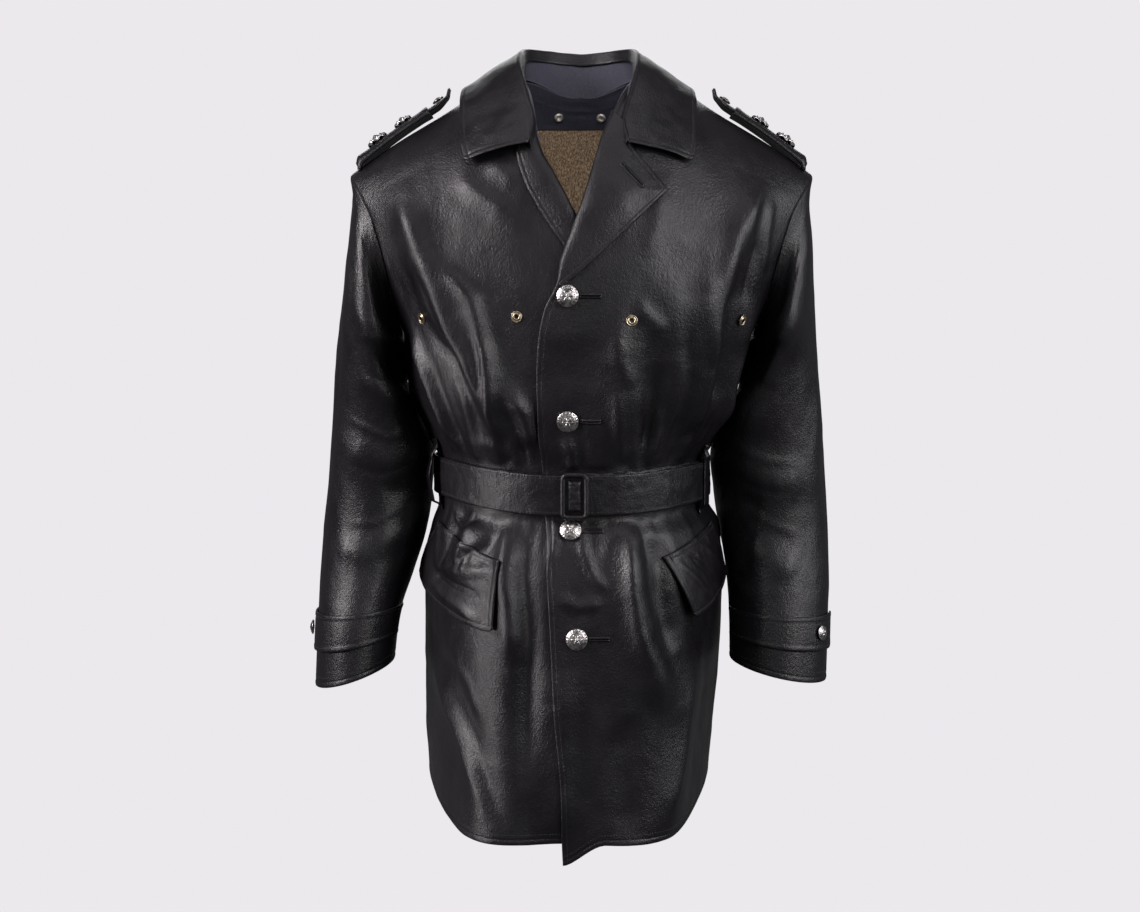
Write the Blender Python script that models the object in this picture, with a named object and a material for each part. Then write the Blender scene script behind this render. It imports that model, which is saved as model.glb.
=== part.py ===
"""A firefighter officer's coat in black leather, hollow as when it is worn.

+Z is up and the front of the coat is towards -Y, so the wearer's left is at +X. The origin
is at the neck base, level with the shoulders that carry the coat. All lengths are in metres.

One smooth surface, coat(), describes the body of the coat. Every panel is a stretch of that
surface with a wall thickness, and what lies on a panel is the same surface moved out.
A point on it has two coordinates. Around runs from 0 at the front centre through 2 at the
wearer's left side seam to 4 at the back centre, and is negative on the wearer's right.
Level runs from 0 at the hem through 1 at the armpits to 2 at the shoulder seams.
"""

import math

import bpy
import numpy as np

# Leather, seams and layers
WALL = 0.0018
GAP = 0.0003
LINING_WALL = 0.0012

# Levels
HEM_Z = -0.836
CHEST_Z = -0.275

# Plan sections of the body from the hem up to the armpits. The corners are where the front
# and the back turn towards the sides.
SECTION_COLUMNS = (
    "z", "x_middle", "y_front", "x_front_corner", "y_front_corner",
    "x_side", "y_side", "x_back_corner", "y_back_corner", "y_back",
)
SECTIONS = (
    (-0.836, -0.005, -0.180, 0.112, -0.162, 0.173, 0.060, 0.120, 0.152, 0.166),
    (-0.730, -0.003, -0.172, 0.110, -0.150, 0.178, 0.045, 0.122, 0.136, 0.152),
    (-0.630, 0.000, -0.166, 0.113, -0.140, 0.181, 0.030, 0.124, 0.125, 0.143),
    (-0.550, 0.000, -0.156, 0.114, -0.130, 0.180, 0.018, 0.124, 0.116, 0.137),
    (-0.500, 0.001, -0.142, 0.106, -0.117, 0.171, 0.012, 0.114, 0.099, 0.118),
    (-0.476, -0.001, -0.131, 0.099, -0.107, 0.161, 0.012, 0.105, 0.089, 0.106),
    (-0.424, -0.001, -0.131, 0.099, -0.107, 0.161, 0.012, 0.105, 0.089, 0.106),
    (-0.392, -0.001, -0.140, 0.106, -0.115, 0.170, 0.008, 0.112, 0.098, 0.115),
    (-0.335, 0.001, -0.150, 0.124, -0.125, 0.196, 0.002, 0.130, 0.112, 0.128),
    (-0.275, 0.006, -0.152, 0.145, -0.122, 0.207, -0.002, 0.145, 0.113, 0.132),
)

# The shoulder seam, where front and back meet: distance from the middle, height and depth
SHOULDER_X = (0.000, 0.080, 0.165, 0.215, 0.262, 0.300)
SHOULDER_Z = (0.052, 0.030, -0.022, -0.052, -0.084, -0.112)
SHOULDER_Y = (0.014, 0.014, 0.008, 0.004, 0.000, 0.000)
SHOULDER_SPREAD = 0.52
SHOULDER_MIDDLE = 0.010

# Half the armhole's width, as a distance around from the side, level by level
ARMHOLE_LEVEL = (1.0, 1.083, 1.167, 1.25, 1.333, 1.5, 2.0)
ARMHOLE_HALF = (0.0, 0.30, 0.43, 0.52, 0.58, 0.64, 0.65)
ARMHOLE_STEPS = 12
NECK_AROUND = 0.36
BACK_NECK_DROP = 0.318

# Front edges from the hem up to the neck point, as x and z seen from the front. The edge
# of the wearer's left front lies over the other, and each edge ends in the lapel's roll line.
OVER_EDGE = (
    (-0.010, -0.862), (-0.015, -0.771), (-0.023, -0.679), (-0.028, -0.565), (-0.031, -0.475),
    (-0.037, -0.397), (-0.040, -0.342), (-0.039, -0.287), (-0.031, -0.243), (-0.018, -0.216),
    (-0.012, -0.191), (0.008, -0.140), (0.019, -0.103), (0.034, -0.050), (0.055, -0.004),
)
UNDER_EDGE = (
    (0.028, -0.838), (0.028, -0.300), (0.026, -0.220), (0.012, -0.167), (0.005, -0.146),
    (-0.008, -0.121), (-0.021, -0.096), (-0.034, -0.074), (-0.042, -0.048), (-0.050, -0.004),
)
HEM_DIP = 0.043
HEM_DIP_WIDTH = 0.42
HEM_RISE = 0.034
HEM_RISE_WIDTH = 0.95
FOLD_GAIN = 1.5


def smooth(knots, values, at):
    """Values on a cubic curve through the knots that doesn't overshoot them."""
    knots = np.asarray(knots, float)
    values = np.asarray(values, float)
    at = np.clip(np.asarray(at, float), knots[0], knots[-1])
    span = np.diff(knots)
    slope = np.diff(values) / span
    tangent = np.zeros_like(values)
    before, after = slope[:-1], slope[1:]
    same_way = before * after > 0
    safe_before = np.where(same_way, before, 1.0)
    safe_after = np.where(same_way, after, 1.0)
    weight_before = 2 * span[1:] + span[:-1]
    weight_after = span[1:] + 2 * span[:-1]
    mean = (weight_before + weight_after) / (weight_before / safe_before + weight_after / safe_after)
    tangent[1:-1] = np.where(same_way, mean, 0.0)
    tangent[0], tangent[-1] = slope[0], slope[-1]
    index = np.clip(np.searchsorted(knots, at, side="right") - 1, 0, len(span) - 1)
    t = (at - knots[index]) / span[index]
    rise = tangent[index] * span[index]
    rise_next = tangent[index + 1] * span[index]
    return (
        values[index] * (1 + 2 * t) * (1 - t) ** 2
        + rise * t * (1 - t) ** 2
        + values[index + 1] * t * t * (3 - 2 * t)
        - rise_next * t * t * (1 - t)
    )


def ease(t):
    """A smooth step from 0 to 1."""
    t = np.clip(t, 0.0, 1.0)
    return t * t * (3 - 2 * t)


def z_level(z):
    """The level of a height below the armpits."""
    return (np.asarray(z, float) - HEM_Z) / (CHEST_Z - HEM_Z)


def section(name, z):
    index = SECTION_COLUMNS.index(name)
    return smooth([row[0] for row in SECTIONS], [row[index] for row in SECTIONS], z)


def through(before, start, end, after, t):
    """A Catmull-Rom curve between start and end."""
    return 0.5 * (
        2 * start
        + (end - before) * t
        + (2 * before - 5 * start + 4 * end - after) * t**2
        + (3 * start - before - 3 * end + after) * t**3
    )


def plan(around, z):
    """Position in plan, from the middle of the section at that height."""
    wrapped = (around + 4) % 8 - 4
    folded = np.abs(wrapped)
    zero = np.zeros_like(z)
    front, side, back = (section(n, z) for n in ("x_front_corner", "x_side", "x_back_corner"))
    xs = np.array([-front, zero, front, side, back, zero, -back])
    ys = [section("y_" + n, z) for n in ("front", "front_corner", "side", "back_corner", "back")]
    ys = np.array([ys[1], *ys, ys[3]])
    step = np.clip(np.floor(folded), 0, 3).astype(int)
    place = np.arange(len(step))
    x = through(*(xs[step + k, place] for k in range(4)), folded - step)
    y = through(*(ys[step + k, place] for k in range(4)), folded - step)
    return np.where(wrapped < 0, -x, x), y


def body(around, level):
    """The body's surface before any folds."""
    around, level = np.broadcast_arrays(np.asarray(around, float), np.asarray(level, float))
    shape = around.shape
    around, level = around.ravel(), level.ravel()
    z = HEM_Z + np.minimum(level, 1) * (CHEST_Z - HEM_Z)
    x, y = plan(around, np.maximum(z, HEM_Z))
    rise = np.radians(90 * np.clip(level - 1, 0, 1))
    x = x * (1 + SHOULDER_SPREAD * np.sin(rise))
    ridge_z = smooth(SHOULDER_X, SHOULDER_Z, np.abs(x))
    ridge_y = smooth(SHOULDER_X, SHOULDER_Y, np.abs(x))
    upper = level > 1
    y = np.where(upper, ridge_y + (y - ridge_y) * np.cos(rise), y)
    z = np.where(upper, CHEST_Z + (ridge_z - CHEST_Z) * np.sin(rise), z)
    low_middle = section("x_middle", np.minimum(z, CHEST_Z))
    x = x + low_middle + (SHOULDER_MIDDLE - low_middle) * np.where(upper, np.sin(rise), 0.0)
    return np.stack([x, y, z], -1).reshape(*shape, 3)


def unit(v):
    return v / np.maximum(np.linalg.norm(v, axis=-1, keepdims=True), 1e-12)


def body_normal(around, level):
    around, level = np.broadcast_arrays(np.asarray(around, float), np.asarray(level, float))
    step = 0.01
    above, below = np.minimum(level + step, 2.0), level - step
    along = body(around + step, level) - body(around - step, level)
    up = body(around, above) - body(around, below)
    return unit(np.cross(along, up))


def front_place(x, z, back=False):
    """The around and level of the point of the front, or the back, seen at x and z."""
    x, z = np.atleast_1d(np.asarray(x, float)), np.atleast_1d(np.asarray(z, float))
    low_middle = section("x_middle", np.minimum(z, CHEST_Z))
    sine = np.zeros_like(z)
    for _ in range(8):
        from_middle = x - low_middle - (SHOULDER_MIDDLE - low_middle) * sine
        ridge_z = smooth(SHOULDER_X, SHOULDER_Z, np.abs(from_middle))
        sine = np.clip((z - CHEST_Z) / (ridge_z - CHEST_Z), 0, 1)
    level = np.where(z > CHEST_Z, 1 + np.arcsin(sine) * 2 / np.pi, (z - HEM_Z) / (CHEST_Z - HEM_Z))
    wanted = np.abs(from_middle) / (1 + SHOULDER_SPREAD * sine)
    low, high = (2.0, 4.0) if back else (0.0, 2.0)
    low, high = np.full_like(z, low), np.full_like(z, high)
    for _ in range(30):
        middle = (low + high) / 2
        reach = plan(middle, np.clip(z, HEM_Z, CHEST_Z))[0]
        outside = (reach > wanted) != back
        low, high = np.where(outside, low, middle), np.where(outside, middle, high)
    return np.sign(from_middle) * low, level


# Folds of the body. Each runs through its points, given as x and z seen from the front. It
# stands out by its height, or sinks where that is negative, and fades over its width.
# Each row holds a fold's width, its height and its points.
FRONT_FOLDS = (
    (0.020, 0.0080, ((-0.196, -0.100), (-0.171, -0.183), (-0.119, -0.300), (-0.095, -0.385))),
    (0.013, 0.0050, ((-0.150, -0.199), (-0.112, -0.236), (-0.089, -0.318), (-0.086, -0.390))),
    (0.012, -0.0050, ((-0.170, -0.250), (-0.132, -0.300), (-0.108, -0.345), (-0.100, -0.395))),
    (0.014, 0.0055, ((-0.188, -0.268), (-0.165, -0.315), (-0.146, -0.360), (-0.136, -0.400))),
    (0.013, 0.0045, ((-0.072, -0.320), (-0.066, -0.350), (-0.052, -0.400))),
    (0.022, 0.0070, ((0.205, -0.095), (0.174, -0.180), (0.155, -0.235), (0.145, -0.300), (0.141, -0.385))),
    (0.015, -0.0055, ((0.186, -0.196), (0.168, -0.246), (0.158, -0.300), (0.157, -0.360))),
    (0.016, 0.0060, ((0.206, -0.225), (0.190, -0.290), (0.174, -0.345), (0.160, -0.395))),
    (0.018, 0.0050, ((0.130, -0.185), (0.112, -0.230), (0.120, -0.310), (0.122, -0.390))),
    (0.018, 0.0040, ((0.046, -0.262), (0.052, -0.320), (0.056, -0.395))),
    (0.014, -0.0045, ((0.090, -0.300), (0.086, -0.350), (0.078, -0.405))),
    (0.016, 0.0065, ((-0.068, -0.490), (-0.072, -0.540), (-0.066, -0.640))),
    (0.013, -0.0060, ((-0.052, -0.486), (-0.050, -0.600), (-0.052, -0.760))),
    (0.022, 0.0060, ((-0.118, -0.490), (-0.112, -0.520))),
    (0.018, 0.0075, ((0.062, -0.488), (0.068, -0.560), (0.078, -0.616), (0.096, -0.664), (0.112, -0.690))),
    (0.016, -0.0065, ((0.086, -0.492), (0.098, -0.560), (0.112, -0.630))),
    (0.020, 0.0060, ((-0.170, -0.650), (-0.140, -0.700), (-0.110, -0.760), (-0.092, -0.838))),
    (0.016, -0.0060, ((-0.150, -0.640), (-0.118, -0.700), (-0.070, -0.838))),
    (0.022, 0.0065, ((0.140, -0.640), (0.124, -0.730), (0.104, -0.838))),
    (0.022, -0.0050, ((0.060, -0.690), (0.058, -0.838))),
    (0.020, 0.0050, ((-0.010, -0.640), (-0.012, -0.838))),
)
BACK_FOLDS = (
    (0.022, 0.0070, ((0.185, -0.120), (0.160, -0.200), (0.120, -0.310), (0.095, -0.395))),
    (0.016, -0.0050, ((0.150, -0.240), (0.110, -0.320), (0.070, -0.395))),
    (0.022, 0.0070, ((-0.170, -0.120), (-0.150, -0.200), (-0.110, -0.320), (-0.080, -0.395))),
    (0.016, -0.0050, ((-0.130, -0.240), (-0.090, -0.330), (-0.048, -0.395))),
    (0.018, 0.0050, ((0.010, -0.200), (0.016, -0.300), (0.020, -0.395))),
    (0.018, 0.0070, ((0.060, -0.490), (0.066, -0.620), (0.074, -0.838))),
    (0.018, -0.0060, ((0.028, -0.490), (0.032, -0.620), (0.030, -0.838))),
    (0.020, 0.0070, ((-0.020, -0.490), (-0.018, -0.620), (-0.010, -0.838))),
    (0.018, -0.0060, ((-0.062, -0.490), (-0.064, -0.620), (-0.060, -0.838))),
    (0.020, 0.0070, ((-0.104, -0.490), (-0.110, -0.620), (-0.112, -0.838))),
    (0.018, 0.0055, ((0.128, -0.500), (0.136, -0.620), (0.140, -0.800))),
)
BELT_LOW, BELT_HIGH = -0.476, -0.424
BELT_FADE = 0.030
BELT_SIDE = 1.7
BELT_SIDE_RISE = {1: 0.005, -1: 0.009}
FOLD_SCALE_AROUND = 0.125
FOLD_SCALE_CHEST = 0.25


def fold_plane(around, level):
    """Around and level as distances in metres, so that a fold's width is even."""
    wrapped = (np.asarray(around, float) + 4) % 8 - 4
    low = HEM_Z + np.minimum(level, 1) * (CHEST_Z - HEM_Z)
    return wrapped * FOLD_SCALE_AROUND, low + np.maximum(np.asarray(level) - 1, 0) * FOLD_SCALE_CHEST


def belt_line(around):
    """How much higher the belt lies at a place around than at the front and back centres."""
    wrapped = (np.asarray(around, float) + 4) % 8 - 4
    away = np.abs(wrapped)
    rise = np.where(wrapped > 0, BELT_SIDE_RISE[1], BELT_SIDE_RISE[-1])
    return rise * ease(away / BELT_SIDE) * (1 - ease((away - 2) / 2))


def fold_height(u, v, path, width, height):
    """What one fold adds at u and v: its height on the path, fading on both sides and at its ends."""
    nearest = np.full(np.shape(u), np.inf)
    along = np.zeros(np.shape(u))
    start = 0.0
    for (ua, va), (ub, vb) in zip(path[:-1], path[1:]):
        length = math.hypot(ub - ua, vb - va)
        t = np.clip(((u - ua) * (ub - ua) + (v - va) * (vb - va)) / length**2, 0, 1)
        distance = np.hypot(u - ua - t * (ub - ua), v - va - t * (vb - va))
        closer = distance < nearest
        along = np.where(closer, start + t * length, along)
        nearest = np.where(closer, distance, nearest)
        start += length
    fade = ease(0.25 + along / (0.35 * start)) * ease(0.25 + (start - along) / (0.35 * start))
    return FOLD_GAIN * height * fade * np.exp(-((nearest / width) ** 2))


def fold_paths():
    """Every fold's path in the plane of fold_plane, with its width and height."""
    paths = []
    for rows, back in ((FRONT_FOLDS, False), (BACK_FOLDS, True)):
        for width, height, points in rows:
            x, z = np.array(points).T
            u, v = fold_plane(*front_place(x, z, back))
            paths.append((list(zip(u, v)), width, height))
    return paths


FOLD_PATHS = fold_paths()


def folds(around, level):
    """How far the folds move the body's surface out."""
    u, v = fold_plane(around, level)
    total = np.zeros(np.shape(u))
    for path, width, height in FOLD_PATHS:
        for turn in (-8 * FOLD_SCALE_AROUND, 0.0, 8 * FOLD_SCALE_AROUND):
            total = total + fold_height(u + turn, v, path, width, height)
    v = v - belt_line(around)
    clear = np.maximum(ease((v - BELT_HIGH) / BELT_FADE), ease((BELT_LOW - v) / BELT_FADE))
    return total * clear * (1 - ease((np.asarray(level) - 1.55) / 0.35))


def coat(around, level, out=0.0):
    """The body's folded surface, moved out by a distance."""
    out = np.asarray(out, float)
    lift = folds(around, level) + out
    return body(around, level) + body_normal(around, level) * lift[..., None]


# Sleeve sections below the armhole. Each row holds z and x on the arm's outer side, z and x on
# its inner side, and y at its front and at its back.
LEFT_SLEEVE = (
    (-0.115, 0.277, -0.286, 0.2165, -0.068, 0.072),
    (-0.165, 0.281, -0.306, 0.2150, -0.075, 0.082),
    (-0.230, 0.284, -0.334, 0.2060, -0.072, 0.090),
    (-0.294, 0.291, -0.374, 0.1805, -0.056, 0.100),
    (-0.360, 0.298, -0.416, 0.1670, -0.046, 0.104),
    (-0.430, 0.304, -0.464, 0.1715, -0.043, 0.101),
    (-0.498, 0.308, -0.513, 0.1790, -0.046, 0.094),
    (-0.560, 0.308, -0.561, 0.1860, -0.058, 0.079),
    (-0.620, 0.306, -0.611, 0.1880, -0.074, 0.062),
    (-0.684, 0.303, -0.661, 0.1880, -0.087, 0.049),
)
RIGHT_SLEEVE = (
    (-0.115, 0.258, -0.286, 0.2035, -0.068, 0.072),
    (-0.165, 0.263, -0.306, 0.2040, -0.075, 0.082),
    (-0.230, 0.271, -0.334, 0.2000, -0.072, 0.090),
    (-0.294, 0.281, -0.374, 0.1820, -0.062, 0.096),
    (-0.360, 0.288, -0.416, 0.1680, -0.050, 0.101),
    (-0.430, 0.295, -0.464, 0.1700, -0.043, 0.101),
    (-0.498, 0.301, -0.513, 0.1780, -0.046, 0.094),
    (-0.560, 0.304, -0.560, 0.1920, -0.058, 0.079),
    (-0.620, 0.306, -0.606, 0.2070, -0.074, 0.062),
    (-0.691, 0.308, -0.663, 0.2140, -0.087, 0.049),
)
TURNS = 24
SLEEVE_LENGTHS = (0, 0.4, 1, 1.5, 2, 2.6, 3.2, 3.8, 4.4, 5, 5.6, 6.2, 6.8, 7.4, 8, 8.7, 9.4, 10)
FRONT_TURNS = (1, 12)
BACK_TURNS = (12, 25)

# Folds of the sleeves, through points given as turn and length. Turn 0 is the outer side,
# 6 the front, 12 the side towards the body and 18 the back.
TURN_SCALE = 0.017
LENGTH_SCALE = 0.062
LEFT_SLEEVE_FOLDS = (
    (0.020, 0.0060, ((10.5, 1.0), (7.5, 2.0), (5.0, 3.2))),
    (0.016, -0.0045, ((9.5, 1.9), (6.5, 3.0), (4.5, 4.2))),
    (0.018, 0.0055, ((11.0, 3.0), (8.5, 4.2), (6.0, 5.0))),
    (0.020, 0.0060, ((9.5, 5.2), (6.5, 5.9), (3.5, 6.2))),
    (0.015, -0.0045, ((10.0, 6.0), (7.0, 6.5))),
    (0.018, 0.0045, ((2.0, 4.6), (3.5, 6.6))),
    (0.018, 0.0045, ((8.5, 7.2), (5.0, 7.9))),
    (0.020, 0.0060, ((13.5, 1.5), (17.0, 3.0))),
    (0.020, 0.0060, ((20.0, 4.5), (16.0, 5.6))),
    (0.020, 0.0050, ((21.0, 6.0), (17.0, 7.0))),
)
RIGHT_SLEEVE_FOLDS = (
    (0.020, 0.0065, ((10.5, 1.1), (7.5, 2.2), (4.5, 3.0))),
    (0.015, -0.0045, ((10.5, 2.2), (7.5, 3.2))),
    (0.018, 0.0055, ((11.0, 3.2), (8.0, 3.9), (5.0, 4.1))),
    (0.020, 0.0060, ((10.0, 4.8), (7.0, 5.5), (3.0, 5.6))),
    (0.015, -0.0045, ((9.5, 5.8), (6.5, 6.2))),
    (0.018, 0.0050, ((9.0, 6.8), (6.0, 7.4), (3.0, 7.4))),
    (0.018, 0.0045, ((3.0, 2.0), (2.5, 3.8))),
    (0.020, 0.0060, ((13.5, 1.5), (17.0, 3.0))),
    (0.020, 0.0060, ((20.0, 4.6), (16.0, 5.4))),
    (0.020, 0.0050, ((21.0, 6.2), (17.0, 6.9))),
)


def armhole_half(level):
    return smooth(ARMHOLE_LEVEL, ARMHOLE_HALF, level)


def armhole_place(side, turn):
    """Around and level of a point of the armhole: turn 0 is the shoulder and 12 the armpit."""
    turn = np.asarray(turn, float) % TURNS
    down = 12 - np.abs(12 - turn)
    level = 2 - down / 12
    half = armhole_half(level)
    return side * np.where(turn <= 12, 2 - half, 2 + half), level


def sleeve_rings(side, turn):
    """The points of every sleeve section at a turn, from the armhole down to the cuff."""
    around, level = armhole_place(side, turn)
    edge = coat(around, level)
    later = coat(*armhole_place(side, np.asarray(turn, float) + 0.05))
    earlier = coat(*armhole_place(side, np.asarray(turn, float) - 0.05))
    normal = body_normal(around, level)
    off_panel = -side * unit(np.cross(later - earlier, normal))
    angle = 2 * np.pi * np.asarray(turn, float) / TURNS
    rings = []
    for z_outer, x_outer, z_inner, x_inner, y_front, y_back in LEFT_SLEEVE if side > 0 else RIGHT_SLEEVE:
        x = (x_outer + x_inner) / 2 + (x_outer - x_inner) / 2 * np.cos(angle)
        y = (y_front + y_back) / 2 + (y_front - y_back) / 2 * np.sin(angle)
        z = (z_outer + z_inner) / 2 + (z_outer - z_inner) / 2 * np.cos(angle)
        rings.append(np.stack([side * x, y, z], -1))
    heading = unit(rings[0] - edge)
    climb = np.clip((heading * normal).sum(-1), 0, 1)[..., None]
    start = edge + GAP * (off_panel + 1.5 * climb * normal)
    return [start, *rings], normal


def sleeve_base(side, turn, length):
    turn, length = np.broadcast_arrays(np.asarray(turn, float), np.asarray(length, float))
    rings = np.array(sleeve_rings(side, turn)[0])
    rings = np.concatenate([2 * rings[:1] - rings[1:2], rings, 2 * rings[-1:] - rings[-2:-1]])
    step = np.clip(np.floor(length), 0, len(rings) - 4).astype(int)
    picked = [np.take_along_axis(rings, (step + k)[None, ..., None], 0)[0] for k in range(4)]
    return through(*picked, (length - step)[..., None])


def sleeve_normal(side, turn, length):
    turn, length = np.broadcast_arrays(np.asarray(turn, float), np.asarray(length, float))
    round_it = sleeve_base(side, turn + 0.1, length) - sleeve_base(side, turn - 0.1, length)
    down = sleeve_base(side, turn, np.minimum(length + 0.03, 10)) - sleeve_base(
        side, turn, np.maximum(length - 0.03, 0)
    )
    return side * unit(np.cross(round_it, down))


def sleeve(side, turn, length, out=0.0):
    """The sleeve's folded surface, moved out by a distance."""
    turn, length = np.broadcast_arrays(np.asarray(turn, float), np.asarray(length, float))
    total = np.zeros(turn.shape)
    for width, height, points in LEFT_SLEEVE_FOLDS if side > 0 else RIGHT_SLEEVE_FOLDS:
        path = [(t * TURN_SCALE, s * LENGTH_SCALE) for t, s in points]
        for whole in (-TURNS, 0, TURNS):
            u = (turn + whole) * TURN_SCALE
            total = total + fold_height(u, length * LENGTH_SCALE, path, width, height)
    total = total * ease(length / 1.2) * (1 - ease((length - 8.2) / 0.5))
    lift = total + np.asarray(out, float)
    return sleeve_base(side, turn, length) + sleeve_normal(side, turn, length) * lift[..., None]


def armhole_walls(side, turn):
    """The directions in which the body's wall and the sleeve's wall end at the armhole."""
    normal = sleeve_rings(side, turn)[1]
    own = sleeve_normal(side, turn, 0.0)
    heading = unit(sleeve_base(side, turn, 0.4) - sleeve_base(side, turn, 0.0))
    share = np.clip(-7 * (heading * normal).sum(-1), 0, 1)[..., None]
    return unit(normal + share * own), unit(own + share * normal)


# What is built from the surfaces

BLACK_LEATHER = ("black leather", (0.012, 0.011, 0.012, 1), 0.0, 0.32)
NAVY_CLOTH = ("navy cloth", (0.018, 0.020, 0.045, 1), 0.0, 0.8)
BROWN_WOOL = ("brown wool", (0.115, 0.080, 0.045, 1), 0.0, 0.95)
PEWTER = ("pewter", (0.45, 0.44, 0.43, 1), 1.0, 0.35)
BRASS = ("brass", (0.45, 0.37, 0.25, 1), 1.0, 0.35)


def material(settings):
    name, colour, metallic, roughness = settings
    made = bpy.data.materials.get(name)
    if made:
        return made
    made = bpy.data.materials.new(name)
    made.use_nodes = True
    surface = made.node_tree.nodes["Principled BSDF"]
    surface.inputs["Base Color"].default_value = colour
    surface.inputs["Metallic"].default_value = metallic
    surface.inputs["Roughness"].default_value = roughness
    return made


def add_solid(name, points, triangles, settings):
    """Adds one object from points and triangles, turned so that its faces point out."""
    points, triangles = np.asarray(points, float), np.asarray(triangles, int)
    a, b, c = (points[triangles[:, k]] for k in range(3))
    if (np.cross(a, b) * c).sum() < 0:
        triangles = triangles[:, ::-1]
    mesh = bpy.data.meshes.new(name)
    mesh.from_pydata(points.tolist(), [], triangles.tolist())
    mesh.materials.append(material(settings))
    made = bpy.data.objects.new(name, mesh)
    bpy.context.scene.collection.objects.link(made)
    return made


def quads(a, b, c, d):
    """Two triangles for each quad whose corners are in the four arrays."""
    a, b, c, d = (np.ravel(k) for k in (a, b, c, d))
    return np.concatenate([np.stack([a, b, c], -1), np.stack([a, c, d], -1)])


def add_sheet(name, outer, inner, settings):
    """A panel between an outer and an inner grid of points, closed along its four edges."""
    rows, columns = outer.shape[:2]
    top = np.arange(rows * columns).reshape(rows, columns)
    low = top + rows * columns
    faces = [
        quads(top[:-1, :-1], top[:-1, 1:], top[1:, 1:], top[1:, :-1]),
        quads(low[:-1, :-1], low[1:, :-1], low[1:, 1:], low[:-1, 1:]),
        quads(top[0, 1:], top[0, :-1], low[0, :-1], low[0, 1:]),
        quads(top[-1, :-1], top[-1, 1:], low[-1, 1:], low[-1, :-1]),
        quads(top[:-1, 0], top[1:, 0], low[1:, 0], low[:-1, 0]),
        quads(top[1:, -1], top[:-1, -1], low[:-1, -1], low[1:, -1]),
    ]
    points = np.concatenate([outer.reshape(-1, 3), inner.reshape(-1, 3)])
    return add_solid(name, points, np.concatenate(faces), settings)


def inset(grid, distance=GAP / 2):
    """The grid with its four edges drawn in, which leaves a gap at the seams."""
    grid = grid.copy()
    grid[0] += unit(grid[1] - grid[0]) * distance
    grid[-1] += unit(grid[-2] - grid[-1]) * distance
    grid[:, 0] += unit(grid[:, 1] - grid[:, 0]) * distance
    grid[:, -1] += unit(grid[:, -2] - grid[:, -1]) * distance
    return grid


# Panels of the body

LOW_LEVELS = z_level(
    np.concatenate(
        [
            np.linspace(HEM_Z, BELT_LOW, 16),
            [(BELT_LOW + BELT_HIGH) / 2],
            np.linspace(BELT_HIGH, CHEST_Z, 8),
        ]
    )
)
HIGH_LEVELS = 1 + np.arange(1, ARMHOLE_STEPS + 1) / ARMHOLE_STEPS
LEVELS = np.concatenate([LOW_LEVELS, HIGH_LEVELS])
FRONT_COLUMNS = 12
OVERLAP_LIFT = 0.0042
LAPEL_ROOM = 0.0046


def front_edge(side, level):
    """How far around the front edge, or the roll line above it, is at each level."""
    points = OVER_EDGE if side > 0 else UNDER_EDGE
    x, z = np.array(points).T
    around, at = front_place(x, z)
    return smooth([*at, 2.0], [*around, side * NECK_AROUND], level)


def overlap_lift(around, level):
    """How far the over front is lifted by the under front, and by the lapel between them."""
    wrapped = (np.asarray(around, float) + 4) % 8 - 4
    level = np.asarray(level, float)
    from_middle = np.abs(wrapped)
    lift = OVERLAP_LIFT * (1 - ease((from_middle - 0.45) / 0.55)) * (1 - ease((level - 1.45) / 0.3))
    room = LAPEL_ROOM * (1 - ease((from_middle - 0.25) / 0.45))
    return lift + room * ease((level - 0.92) / 0.10) * (1 - ease((level - 1.28) / 0.14))


def armhole_column(back):
    """Turns of the armhole's points for the rows above the armpit."""
    steps = np.arange(1, ARMHOLE_STEPS + 1)
    return 12 + steps if back else 12 - steps


def hem_rise(around, level):
    """How much higher the hem is at the side seams, fading out above it."""
    from_side = np.abs(np.abs((np.asarray(around, float) + 4) % 8 - 4) - 2)
    return HEM_RISE * (1 - ease(from_side / HEM_RISE_WIDTH)) * (1 - np.clip(level / 0.5, 0, 1))


def front_panel(name, side):
    start = front_edge(side, LEVELS)
    end = side * (2 - np.where(LEVELS > 1, armhole_half(LEVELS), 0))
    across = np.linspace(0, 1, FRONT_COLUMNS + 1)
    around = start[:, None] + (end - start)[:, None] * across
    level = np.repeat(LEVELS[:, None], FRONT_COLUMNS + 1, 1)
    lift = np.zeros(around.shape)
    level = level + hem_rise(around, level)
    if side > 0:
        near_edge = 1 - ease((around - start[:, None]) / HEM_DIP_WIDTH)
        level = level - HEM_DIP * near_edge * (1 - ease(level / 0.12))
        lift = overlap_lift(around, level)
    outer = coat(around, level, lift)
    walls = np.broadcast_to(body_normal(around, level), outer.shape).copy()
    walls[len(LOW_LEVELS):, -1] = armhole_walls(side, armhole_column(False))[0]
    outer = inset(outer)
    add_sheet(name, outer, outer - WALL * walls, BLACK_LEATHER)


def back_arounds():
    """Around of every point of the back, level by level, with a column at each neck point."""
    rows = []
    for level in LEVELS:
        edge = 2 + (float(armhole_half(level)) if level > 1 else 0.0)
        neck = 4 - NECK_AROUND
        left = np.linspace(edge, neck, 9)
        middle = np.linspace(neck, 8 - neck, 5)[1:-1]
        rows.append([*left, *middle, *(8 - left[::-1])])
    return np.array(rows)


def back_neck_level(around):
    """The level of the back's top edge, which drops between the neck points."""
    from_middle = np.abs(np.asarray(around, float) - 4) / NECK_AROUND
    return 2 - BACK_NECK_DROP * (1 - np.minimum(from_middle, 1) ** 2)


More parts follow.
